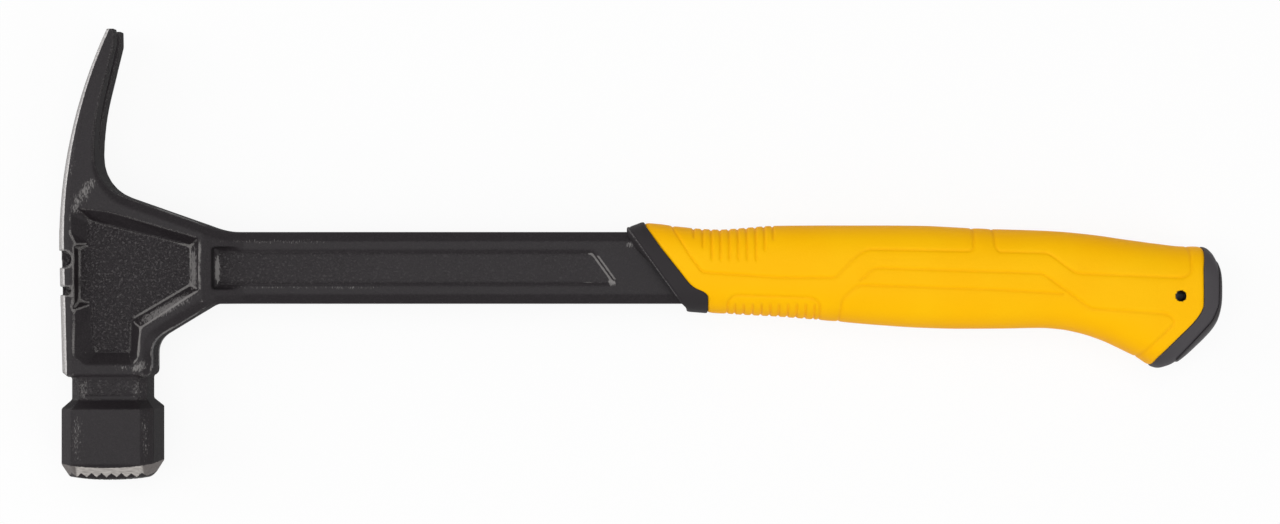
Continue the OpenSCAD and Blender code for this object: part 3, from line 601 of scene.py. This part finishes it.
def sleeve_rows(count):
    """Shares along the sleeve, closer together over the ribs."""
    at = np.linspace(0, 1, 4001)
    x = GRIP_START + 15 + at * 205
    ribbed = (x > GRIP_START + 22) & (x < GRIP_START + 74)
    weight = np.concatenate([[0], np.cumsum(np.where(ribbed, 1.7, 1.0)[1:])])
    return np.interp(np.linspace(0, 1, count), weight / weight[-1], at)


def closed_ring(name, grid, material):
    """A piece whose rows of points close on themselves round the section and along it."""
    rows, columns = grid.shape[:2]
    piece = new_piece(name, placed(grid.reshape(-1, 3)), ring_faces(rows, columns, True), material)
    facing_out(piece.data)
    return piece


def bored(piece):
    """Cuts the lanyard hole through a piece."""
    hole = bmesh.new()
    radius = LANYARD_R * MM
    bmesh.ops.create_cone(
        hole, cap_ends=True, segments=48, radius1=radius, radius2=radius, depth=2 * GRIP_T * MM
    )
    bmesh.ops.translate(hole, verts=hole.verts, vec=Vector(placed([*LANYARD, 0])))
    cutter_mesh = bpy.data.meshes.new("lanyard_cutter")
    hole.to_mesh(cutter_mesh)
    hole.free()
    cutter = bpy.data.objects.new("lanyard_cutter", cutter_mesh)
    bpy.context.scene.collection.objects.link(cutter)
    cut = piece.modifiers.new("lanyard", "BOOLEAN")
    cut.operation = "DIFFERENCE"
    cut.solver = "MANIFOLD"
    cut.object = cutter
    settled(piece)
    bpy.data.objects.remove(cutter)


def grip_sleeve():
    """Soft sleeve with the lines round its pads, its rib grooves and the lanyard hole."""
    angles = round_the_grip(216, 1.9)
    shares = sleeve_rows(425)
    start = where_it_meets(collar_rear_at, angles, 0, GRIP_START + 3, GRIP_START + 40)
    end = where_it_meets(cap_front_at, angles, 0, BUTT_X - 40, BUTT_X - 4)
    x = start[None, :] + (end - start)[None, :] * shares[:, None]
    skin = grip_skin(x, angles[None, :], 0)
    normal = normals_of(skin)
    px, py = skin[..., 0], skin[..., 1]

    near = from_pad_lines(px, py)
    depth = LINE_DEPTH * bell_curve(near, LINE_WIDTH) + DIP_DEPTH * np.exp(-near / DIP_REACH)
    depth = np.maximum(depth, RIB_DEPTH * rib_depth(px, py, RIB_HALF_W, RIB_RUN_OUT))
    from_end = np.minimum(px - start[None, :], end[None, :] - px)
    depth = depth + END_DEPTH * np.exp(-np.clip(from_end, 0, None) / END_REACH)
    skin = skin - normal * depth[..., None]

    # The inner wall runs back from the rear end to the front one
    wall = [(1, SLEEVE_END_GROW)]
    wall += [(share, CORE_GROW) for share in (1, 0.75, 0.5, 0.25, 0)]
    wall += [(0, SLEEVE_END_GROW)]
    inner = [grip_skin(start + (end - start) * share, angles, grow) for share, grow in wall]
    grid = np.concatenate([skin, np.array(inner)], axis=0)
    piece = closed_ring("grip_sleeve_skin", grid, soft_yellow())
    bored(piece)

    x, y, z = drawn(vertices(piece.data)).T
    lines = bell_curve(from_pad_lines(x, y), LINE_WIDTH)
    ribs = rib_depth(x, y, RIB_SHADE_HALF_W, RIB_RUN_OUT)
    # Lines and ribs, for the painted shade in the grooves
    mark(piece.data, "groove", np.maximum(lines, 0.6 * ribs))
    # Nearness to the top and bottom edges, for the deeper orange painted as shade there
    mark(piece.data, "turn", np.clip(1 - np.abs(z) / 12.5, 0, 1) ** 0.8)
    from_hole = np.hypot(x - LANYARD[0], y - LANYARD[1])
    mark(piece.data, "bore", np.where(from_hole < LANYARD_R + 0.05, 1.0, 0.0))
    return piece


def collar():
    """Hard collar round the front of the grip, with a thin raised lip at its front edge."""
    angles = round_the_grip(240, 1.4)
    grow = 0.3

    def ring(x, height):
        return grip_skin(x, angles, height)

    front = where_it_meets(collar_front_at, angles, grow, GRIP_START - 1.3, GRIP_START + 30)
    rear = where_it_meets(collar_rear_at, angles, grow, GRIP_START + 3, GRIP_START + 40)
    begin, stop = front + 1.5, rear - 0.8
    # The lip runs out where the front edge turns under the shank
    raised = np.clip((ring(front, 0)[:, 1] + 13.0) / 3.0, 0, 1)
    rows = [ring(front, COLLAR_BORE_GROW), ring(front, -2.0), ring(front, -0.2)]
    for step, height, plain in (
        (0.08, 0.05, 0.0), (0.2, 0.24, 0.1), (0.4, 0.3, 0.18), (0.65, 0.3, 0.22),
        (0.85, 0.24, 0.25), (1.0, 0.1, 0.27), (1.2, 0.12, 0.28),
    ):
        rows.append(ring(front + step, plain + (height - plain) * raised))
    for share in np.linspace(0, 1, 30):
        rows.append(ring(begin + (stop - begin) * share, grow))
    for step, height in ((0.4, 0.22), (0.15, 0.05), (0.0, -0.3)):
        rows.append(ring(rear - step, height))
    rows.append(ring(rear, COLLAR_BORE_GROW))
    piece = closed_ring("front_collar_shell", np.array(rows), black_plastic(
        "hard_black", (0.029, 0.0245, 0.027, 1), (0.016, 0.0132, 0.0148, 1), 0.44, 0.00004))
    # Rows of the raised lip, for its painted speckled highlight
    lightened = np.zeros((len(rows), len(angles)))
    lightened[4:7] = raised
    mark(piece.data, "lip", lightened.ravel())
    mark(piece.data, "flat", np.ones(lightened.size))
    return piece


def butt_cap():
    """Hard cap round the butt, which meets the sleeve with a small rounded step."""
    angles = round_the_grip(200, 1.4)
    front = where_it_meets(cap_front_at, angles, 0, BUTT_X - 40, BUTT_X - 4)
    rear = where_it_meets(pad_front_at, angles, 0, BUTT_X - 30, BUTT_X)
    length = rear - front
    rows = [grip_skin(front, angles, CORE_GROW)]
    for step, height in ((0.0, -0.35), (0.15, 0.0), (0.4, 0.18), (0.7, 0.22)):
        rows.append(grip_skin(front + np.minimum(step, 0.3 * length), angles, height))
    for share in np.linspace(0, 1, 22)[1:]:
        begin = front + np.minimum(0.7, 0.3 * length)
        rows.append(grip_skin(begin + (rear - begin) * share, angles, 0.22 * (1 - share)))
    rows.append(grip_skin(rear, angles, -2.5))
    return closed_ring("butt_cap_shell", np.array(rows), bpy.data.materials["hard_black"])


def butt_pad():
    """Thick pad on the end of the cap, standing a little proud of it, with a crowned end."""
    angles = round_the_grip(200, 1.4)
    grow = 0.6
    front = where_it_meets(pad_front_at, angles, grow, BUTT_X - 30, BUTT_X)
    front = np.minimum(front, BUTT_X - 0.8)
    end = np.full_like(front, BUTT_X)
    rows = [grip_skin(front, angles, -2.6)]
    for step, height in ((0.0, -0.25), (0.12, 0.25), (0.35, 0.52), (0.6, grow)):
        rows.append(grip_skin(np.minimum(front + step, BUTT_X), angles, height))
    for share in np.linspace(0, 1, 30)[1:]:
        begin = np.minimum(front + 0.6, BUTT_X)
        rows.append(grip_skin(begin + (end - begin) * share, angles, grow * (1 - share ** 6)))
    last = rows[-1]
    middle = last.mean(axis=0)
    for share in (0.93, 0.8, 0.6, 0.4, 0.2):
        rows.append(middle + (last - middle) * share)
    grid = np.array(rows)
    grid[..., 0] = np.minimum(grid[..., 0], BUTT_X)
    count, columns = grid.shape[:2]
    points = grid.reshape(-1, 3).tolist()
    faces = ring_faces(count, columns, False)
    inner, outer = len(points), len(points) + 1
    points.append(list(grid[0].mean(axis=0)))
    points.append(list(middle))
    tail = (count - 1) * columns
    for c in range(columns):
        d = (c + 1) % columns
        faces.append((inner, c, d))
        faces.append((outer, tail + d, tail + c))
    piece = new_piece("butt_pad_block", placed(points), faces, black_plastic(
        "soft_black", (0.027, 0.023, 0.0255, 1), (0.015, 0.0125, 0.014, 1), 0.5, 0.00004))
    facing_out(piece.data)
    return piece


# Steel

# Lighter places, partly scuffs and partly painted highlights such as the bands on the bell and the
# neck:
# where along and across the hammer, half length and width, the angle at which the length runs, and
# how strong
SCUFFS_AND_HIGHLIGHTS = [
    (-8.0, 28.6, 5.8, 2.4, 54, 0.9), (-11.7, 23.6, 4.0, 2.0, 80, 0.9),
    (11.5, -36.6, 3.0, 1.9, 25, 1.05), (5.0, -36.8, 3.0, 1.5, 0, 0.5),
    (-13.5, 40.0, 7.0, 2.4, 85, 0.5), (31.2, -0.5, 8.5, 1.7, 90, 1.2),
    (21.0, -15.0, 12.0, 2.4, 29, 1.1), (-9.0, -45.0, 4.5, 2.0, 90, 0.75),
    (10.5, -45.0, 4.5, 2.6, 90, 0.6), (185.9, -5.6, 1.4, 1.3, 0, 1.3),
    (192.5, 8.7, 1.2, 1.0, 0, 1.1), (39.6, -0.6, 5.4, 0.9, 90, 1.5),
    (-14.5, 70.0, 9.0, 1.5, 80, 0.4), (60.0, 9.8, 24.0, 0.8, 0, 0.55),
    (75.0, -7.2, 34.0, 0.7, 0, 0.55), (-10.4, -62.0, 9.5, 2.4, 90, 0.6),
    (14.4, -62.0, 9.5, 1.3, 90, 0.6),
]
# How strong the wear and painted sheen along the edges are: from and to along the hammer, from and to
# across it, and the share.
# Later rows hold over earlier ones, and elsewhere the first share holds.
EDGE_WEAR_AND_SHEEN = [
    (-30, 36, -41, 32, 0.72), (-20, 40, 31, 95, 0.62), (36, 220, -20, 20, 0.42),
    (-20, 20, -50, -40.4, 0.6), (-20, 20, -80, -50, 0.52), (22, 35, -15, 9, 1.12),
    (9, 24, -30, -8, 1.1), (9, 19, -38, -18, 1.1), (-16.5, -7, -34, 14, 0.92),
    (174, 190, -8.5, 8.5, 1.6),
]
# Bend of the surface at which wear and painted sheen begin, and how much more brings them to the full
BEND_FROM = 90
BEND_REACH = 240
# Lines along which the dies left the forging softly rounded, and how far from them
SOFT_LINES = [
    [(-5.2, 44.0), (-5.2, 30.1), (42.5, 13.35), (66.0, 13.35)],
    [(15.8, -36.0), (15.8, -26.9), (38.2, -13.35), (66.0, -13.35)],
]
SOFT_REACH = 4.4
ROUNDING_PASSES = 14
SOFTEN_PASSES = 1
# Ends of the shank's panel, and how far its edges lie from the middle
PANEL_ENDS = (38, 190)
PANEL_EDGE = 6.2
# Size of the forging's voxels in metres, and the share of the triangles that is kept
VOXEL = 0.00044
KEPT_SHARE = 0.38


def soft_share(at):
    """How strongly each place is rounded: along the web's edges, and in the shank's panel."""
    x, y, z = at.T
    near = np.minimum(*(from_line(x, y, line) for line in SOFT_LINES))
    web = np.clip((SOFT_REACH - near) / 0.8, 0, 1)
    from_edge = np.abs(np.abs(y) - PANEL_EDGE)
    along_panel = (x > PANEL_ENDS[0]) & (x < PANEL_ENDS[1])
    panel = np.where(along_panel, np.clip((2.0 - from_edge) / 0.6, 0, 1), 0)
    return np.maximum(web, panel) * (np.abs(z) > 3)


def bends(mesh, points, normal):
    """How sharply the surface bends at each vertex, from its edges, evened out twice."""
    ends = np.empty(len(mesh.edges) * 2, dtype=np.int64)
    mesh.edges.foreach_get("vertices", ends)
    a, b = ends.reshape(-1, 2).T
    span = points[b] - points[a]
    length = np.linalg.norm(span, axis=1) + 1e-9
    bend = ((normal[b] - normal[a]) * span).sum(axis=1) / length ** 2
    total = np.bincount(a, bend, len(points)) + np.bincount(b, bend, len(points))
    count = np.bincount(a, minlength=len(points)) + np.bincount(b, minlength=len(points))
    curve = total / np.maximum(count, 1)
    for _ in range(2):
        near = np.bincount(a, curve[b], len(points)) + np.bincount(b, curve[a], len(points))
        curve = 0.5 * curve + 0.5 * near / np.maximum(count, 1)
    return curve


def mark_wear_and_light(mesh):
    """Marks the forging for its finish: wear and painted sheen at its edges, rough cast floors,
    painted shade on steep sides, and scuffs with painted highlights.
    """
    points = vertices(mesh)
    normal = np.empty(len(mesh.vertices) * 3)
    mesh.vertices.foreach_get("normal", normal)
    normal = normal.reshape(-1, 3)
    curve = bends(mesh, points, normal)
    x, y, z = drawn(points).T

    # Edges, for wear and painted sheen
    wear = np.full(len(x), EDGE_WEAR_AND_SHEEN[0][-1])
    for from_x, to_x, from_y, to_y, share in EDGE_WEAR_AND_SHEEN:
        wear[(x > from_x) & (x < to_x) & (y > from_y) & (y < to_y)] = share
    mark(mesh, "edge", np.clip((np.abs(curve) - BEND_FROM) / BEND_REACH, 0, 0.8) * wear)

    in_pocket = (x < 33) & (y > -36) & (y < 20) & (np.abs(z) < 7.6)
    in_panel = (x > PANEL_ENDS[0]) & (np.abs(y) < 7.2) & (np.abs(z) < 5.8)
    on_neck = (y < -41) & (y > -47)
    in_panel_share = np.interp(x, [40, 75, 110], [0.6, 0.4, 0.15])
    rough = np.where(in_panel, in_panel_share, np.where(on_neck, 0.6, 0.0))
    mark(mesh, "cast", np.where(in_pocket, 1.0, rough))

    # Steep sides, left out in the head's pocket, for painted shade and a duller coat
    inside = (x > -15) & (x < 33) & (y > -37) & (y < 22)
    steep = np.clip((0.5 - np.abs(normal[:, 2])) / 0.2, 0, 1)
    mark(mesh, "wall", np.where(inside & (np.abs(z) > 6), 0.0, steep))

    # Scuffs and painted highlights, from the table of lighter places
    scuff_and_highlight = np.zeros(len(x))
    for mid_x, mid_y, long, wide, angle, strength in SCUFFS_AND_HIGHLIGHTS:
        turn = np.radians(angle)
        ahead = (x - mid_x) * np.cos(turn) + (y - mid_y) * np.sin(turn)
        aside = (y - mid_y) * np.cos(turn) - (x - mid_x) * np.sin(turn)
        spread = (ahead / long) ** 4 + (aside / wide) ** 2
        scuff_and_highlight = np.maximum(scuff_and_highlight, strength * np.exp(-spread) * (z > 0))
    mark(mesh, "scuff_and_highlight", scuff_and_highlight)


def soft_forging():
    """The forging with its edges softened as by the dies, and marks of wear and painted light for its
    finish.
    """
    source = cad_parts["forged_head_and_tang"]
    mesh = source.data.copy()
    # The CAD's teeth are cut off, since the milled face stands in their place
    work = bmesh.new()
    work.from_mesh(mesh)
    bmesh.ops.remove_doubles(work, verts=work.verts, dist=1e-6)
    cut_at = placed([0, FACE_Y - 0.05, 0])
    bmesh.ops.bisect_plane(
        work, geom=work.verts[:] + work.edges[:] + work.faces[:], plane_co=cut_at,
        plane_no=(0, 1, 0), clear_inner=True
    )
    open_edges = [e for e in work.edges if e.is_boundary]
    bmesh.ops.holes_fill(work, edges=open_edges)
    bmesh.ops.recalc_face_normals(work, faces=work.faces)
    work.to_mesh(mesh)
    work.free()
    mesh.name = "soft_forging"
    mesh.materials.clear()
    mesh.materials.append(coated_steel())
    piece = bpy.data.objects.new("soft_forging", mesh)
    bpy.context.scene.collection.objects.link(piece)
    remesh = piece.modifiers.new("even", "REMESH")
    remesh.mode = "VOXEL"
    remesh.voxel_size = VOXEL
    remesh.use_smooth_shade = True
    settled(piece)
    rounding = piece.vertex_groups.new(name="rounding")
    for step, share in enumerate(soft_share(drawn(vertices(piece.data)))):
        if share > 0:
            rounding.add([step], float(share), "REPLACE")
    for name, group, passes in (
        ("round_over", "rounding", ROUNDING_PASSES), ("soften", "", SOFTEN_PASSES),
    ):
        soften = piece.modifiers.new(name, "SMOOTH")
        soften.vertex_group = group
        soften.factor = 0.5
        soften.iterations = passes
    thin = piece.modifiers.new("thin", "DECIMATE")
    thin.ratio = KEPT_SHARE
    settled(piece)
    mesh = piece.data
    mesh.polygons.foreach_set("use_smooth", [True] * len(mesh.polygons))
    mark_wear_and_light(mesh)
    return piece


def milled_face():
    """Rows of pyramids on the striking face, made by geometry nodes."""
    tree = bpy.data.node_groups.new("milled_face", "GeometryNodeTree")
    tree.interface.new_socket("Geometry", in_out="OUTPUT", socket_type="NodeSocketGeometry")
    sizes = {
        "Row pitch": TOOTH_PITCH * MM, "Tooth height": TOOTH_H * MM,
        "Valley depth": TOOTH_H * TOOTH_DEPTH_SHARE * MM, "Face width": FACE_W * MM,
        "Corner cut": FACE_CUT * MM, "Crown radius": CROWN_R * MM, "Root": 0.6 * MM,
    }
    for name in sizes:
        tree.interface.new_socket(name, in_out="INPUT", socket_type="NodeSocketFloat")
    tree.interface.new_socket("Metal", in_out="INPUT", socket_type="NodeSocketMaterial")
    nodes, links = tree.nodes, tree.links
    given = nodes.new("NodeGroupInput").outputs

    def put(value, socket):
        if isinstance(value, bpy.types.NodeSocket):
            links.new(value, socket)
        else:
            socket.default_value = value

    def sum_of(operation, first, second=0.0):
        node = nodes.new("ShaderNodeMath")
        node.operation = operation
        put(first, node.inputs[0])
        put(second, node.inputs[1])
        return node.outputs[0]

    def vector(x, y, z):
        node = nodes.new("ShaderNodeCombineXYZ")
        for value, socket in zip((x, y, z), node.inputs):
            put(value, socket)
        return node.outputs[0]

    def block(size, counts=(2, 2, 2)):
        node = nodes.new("GeometryNodeMeshCube")
        put(size, node.inputs["Size"])
        for value, socket in zip(counts, ("Vertices X", "Vertices Y", "Vertices Z")):
            node.inputs[socket].default_value = value
        return node.outputs["Mesh"]

    def moved(mesh, shift=None, turn=None):
        node = nodes.new("GeometryNodeTransform")
        links.new(mesh, node.inputs["Geometry"])
        if shift is not None:
            put(shift, node.inputs["Translation"])
        if turn is not None:
            node.inputs["Rotation"].default_value = turn
        return node.outputs["Geometry"]

    rows = 16
    pitch = given["Row pitch"]
    wide = sum_of("MULTIPLY", pitch, rows)
    deep = sum_of("ADD", given["Root"], given["Tooth height"])
    slab = block(vector(wide, wide, deep), (4 * rows + 1, 4 * rows + 1, 2))

    spot = nodes.new("GeometryNodeInputPosition").outputs[0]
    parts = nodes.new("ShaderNodeSeparateXYZ")
    links.new(spot, parts.inputs[0])

    def groove(place):
        turns = sum_of("DIVIDE", place, pitch)
        return sum_of("MULTIPLY", sum_of("PINGPONG", turns, 0.5), 2.0)

    valley = sum_of("MAXIMUM", groove(parts.outputs[0]), groove(parts.outputs[1]))
    valley = sum_of("MULTIPLY", valley, given["Valley depth"])
    flat = nodes.new("ShaderNodeVectorMath")
    flat.operation = "MULTIPLY"
    links.new(spot, flat.inputs[0])
    flat.inputs[1].default_value = (1, 1, 0)
    far = nodes.new("ShaderNodeVectorMath")
    far.operation = "LENGTH"
    links.new(flat.outputs[0], far.inputs[0])
    reach = far.outputs["Value"]
    crown_d = sum_of("MULTIPLY", given["Crown radius"], 2.0)
    fall = sum_of("DIVIDE", sum_of("MULTIPLY", reach, reach), crown_d)
    drop = sum_of("MAXIMUM", valley, fall)
    top_only = sum_of("GREATER_THAN", parts.outputs[2], 0.0)
    set_place = nodes.new("GeometryNodeSetPosition")
    links.new(slab, set_place.inputs["Geometry"])
    links.new(vector(0.0, 0.0, sum_of("MULTIPLY", drop, -1.0)), set_place.inputs["Offset"])
    links.new(top_only, set_place.inputs["Selection"])
    eighth_turn = 0.7853981634
    teeth = moved(set_place.outputs["Geometry"], turn=(0, 0, eighth_turn))

    tall = 0.02
    face_block = block(vector(given["Face width"], given["Face width"], tall))
    less_cut = sum_of("SUBTRACT", given["Face width"], given["Corner cut"])
    across_cuts = sum_of("MULTIPLY", less_cut, 2 ** 0.5)
    corner_block = moved(block(vector(across_cuts, across_cuts, tall)), turn=(0, 0, eighth_turn))
    meet = nodes.new("GeometryNodeMeshBoolean")
    meet.operation = "INTERSECT"
    meet.solver = "EXACT"
    for mesh in (teeth, face_block, corner_block):
        links.new(mesh, meet.inputs[1])
    centre = placed([0, FACE_Y, 0])
    lift = sum_of("DIVIDE", deep, 2.0)
    out_y = sum_of("SUBTRACT", float(centre[1]), sum_of("SUBTRACT", lift, given["Root"]))
    standing = moved(meet.outputs["Mesh"], turn=(2 * eighth_turn, 0, 0))
    standing = moved(standing, shift=vector(float(centre[0]), out_y, float(centre[2])))
    real = nodes.new("GeometryNodeRealizeInstances")
    links.new(standing, real.inputs[0])
    coloured = nodes.new("GeometryNodeSetMaterial")
    links.new(real.outputs[0], coloured.inputs["Geometry"])
    links.new(given["Metal"], coloured.inputs["Material"])
    output = nodes.new("NodeGroupOutput")
    links.new(coloured.outputs[0], output.inputs[0])

    metal = ground_steel()
    piece = new_piece("milled_face", [(0, 0, 0)], [], metal)
    rule = piece.modifiers.new("teeth", "NODES")
    rule.node_group = tree
    for item in tree.interface.items_tree:
        if item.in_out == "INPUT":
            rule[item.identifier] = metal if item.name == "Metal" else float(sizes[item.name])
    settled(piece)
    if not piece.data.materials:
        piece.data.materials.append(metal)
    piece.data.polygons.foreach_set("use_smooth", [False] * len(piece.data.polygons))
    return piece


# Studio

def showing_rays(tree):
    """1 for the rays that show things: from the camera, mirrored or let through."""
    path = tree.nodes.new("ShaderNodeLightPath")
    shown = path.outputs["Is Camera Ray"]
    for ray in ("Is Glossy Ray", "Is Transmission Ray"):
        widest = tree.nodes.new("ShaderNodeMath")
        widest.operation = "MAXIMUM"
        tree.links.new(shown, widest.inputs[0])
        tree.links.new(path.outputs[ray], widest.inputs[1])
        shown = widest.outputs[0]
    return shown


def mixed(tree, share, first, second):
    """Shader that goes from the first to the second as the share grows."""
    blend = tree.nodes.new("ShaderNodeMixShader")
    tree.links.new(share, blend.inputs[0])
    tree.links.new(first.outputs[0], blend.inputs[1])
    tree.links.new(second.outputs[0], blend.inputs[2])
    return blend.outputs[0]


def pale_floor():
    """Matt floor that takes shadows and shows almost white."""
    finish = bpy.data.materials.new("pale_floor")
    finish.use_nodes = True
    tree = finish.node_tree
    tree.nodes.clear()
    matte = tree.nodes.new("ShaderNodeBsdfDiffuse")
    matte.inputs["Color"].default_value = grey(0.88)
    glow = tree.nodes.new("ShaderNodeEmission")
    glow.inputs["Color"].default_value = grey(1.0)
    share = tree.nodes.new("ShaderNodeMath")
    share.operation = "MULTIPLY"
    share.inputs[1].default_value = 0.9
    tree.links.new(showing_rays(tree), share.inputs[0])
    output = tree.nodes.new("ShaderNodeOutputMaterial")
    tree.links.new(mixed(tree, share.outputs[0], matte, glow), output.inputs["Surface"])
    far = 6.0
    corners = [(-far, -far, 0), (far, -far, 0), (far, far, 0), (-far, far, 0)]
    new_piece("floor", corners, [(0, 1, 2, 3)], finish, False)


def white_surroundings():
    """Surroundings that show white and light the hammer softly."""
    world = bpy.data.worlds.new("studio")
    world.use_nodes = True
    bpy.context.scene.world = world
    tree = world.node_tree
    tree.nodes.clear()
    lights = []
    for strength in (0.3, 1.0):
        light = tree.nodes.new("ShaderNodeBackground")
        light.inputs["Color"].default_value = grey(1.0)
        light.inputs["Strength"].default_value = strength
        lights.append(light)
    out = tree.nodes.new("ShaderNodeOutputWorld")
    tree.links.new(mixed(tree, showing_rays(tree), *lights), out.inputs["Surface"])


def lamps_and_camera():
    """Soft lamps above and at both sides, and the camera straight above."""
    middle = Vector((0, 0, 0.017))
    for name, place, size, power in (
        ("overhead_box", (-0.05, 0.1, 1.7), (1.7, 1.1), 16.0),
        ("left_box", (-1.3, 0.1, 0.6), (0.9, 1.3), 8.0),
        ("right_box", (1.1, -0.85, 0.75), (0.9, 1.3), 7.0),
    ):
        lamp = bpy.data.lights.new(name, "AREA")
        lamp.shape = "RECTANGLE"
        lamp.size, lamp.size_y = size
        lamp.energy = power
        stand = bpy.data.objects.new(name, lamp)
        stand.location = place
        stand.rotation_euler = (middle - Vector(place)).to_track_quat("-Z", "Y").to_euler()
        bpy.context.scene.collection.objects.link(stand)

    camera = bpy.data.cameras.new("camera")
    camera.lens = 84.49
    camera.sensor_width = 36
    eye = bpy.data.objects.new("camera", camera)
    eye.location = (-0.00005, -0.00255, 1.137)
    bpy.context.scene.collection.objects.link(eye)
    bpy.context.scene.camera = eye
    bpy.context.scene.view_settings.view_transform = "Standard"


# Assembly

def dress(piece, slot, *nodes):
    """Puts a piece on the hammer's one body, in place of its nodes. The slot is not used."""
    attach(piece, "root")
    if nodes:
        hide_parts(*nodes)


pale_floor()
white_surroundings()
lamps_and_camera()
dress(soft_forging(), "black_steel", "forged_head_and_tang")
dress(milled_face(), "black_steel")
dress(grip_sleeve(), "soft_yellow", "grip_sleeve")
dress(collar(), "hard_black", "front_collar")
dress(butt_cap(), "hard_black", "butt_cap")
dress(butt_pad(), "soft_black", "butt_pad")

# The magnet and the core show their CAD meshes in finishes of their own
magnet_finish = nickel_magnet()
core_finish = black_plastic(
    "hard_core", (0.034, 0.031, 0.034, 1), (0.02, 0.018, 0.02, 1), 0.55, 0.00003
)
for node, finish in (("nail_magnet", magnet_finish), ("grip_core", core_finish)):
    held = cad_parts[node].data
    for place in range(max(1, len(held.materials))):
        if held.materials:
            held.materials[place] = finish
        else:
            held.materials.append(finish)
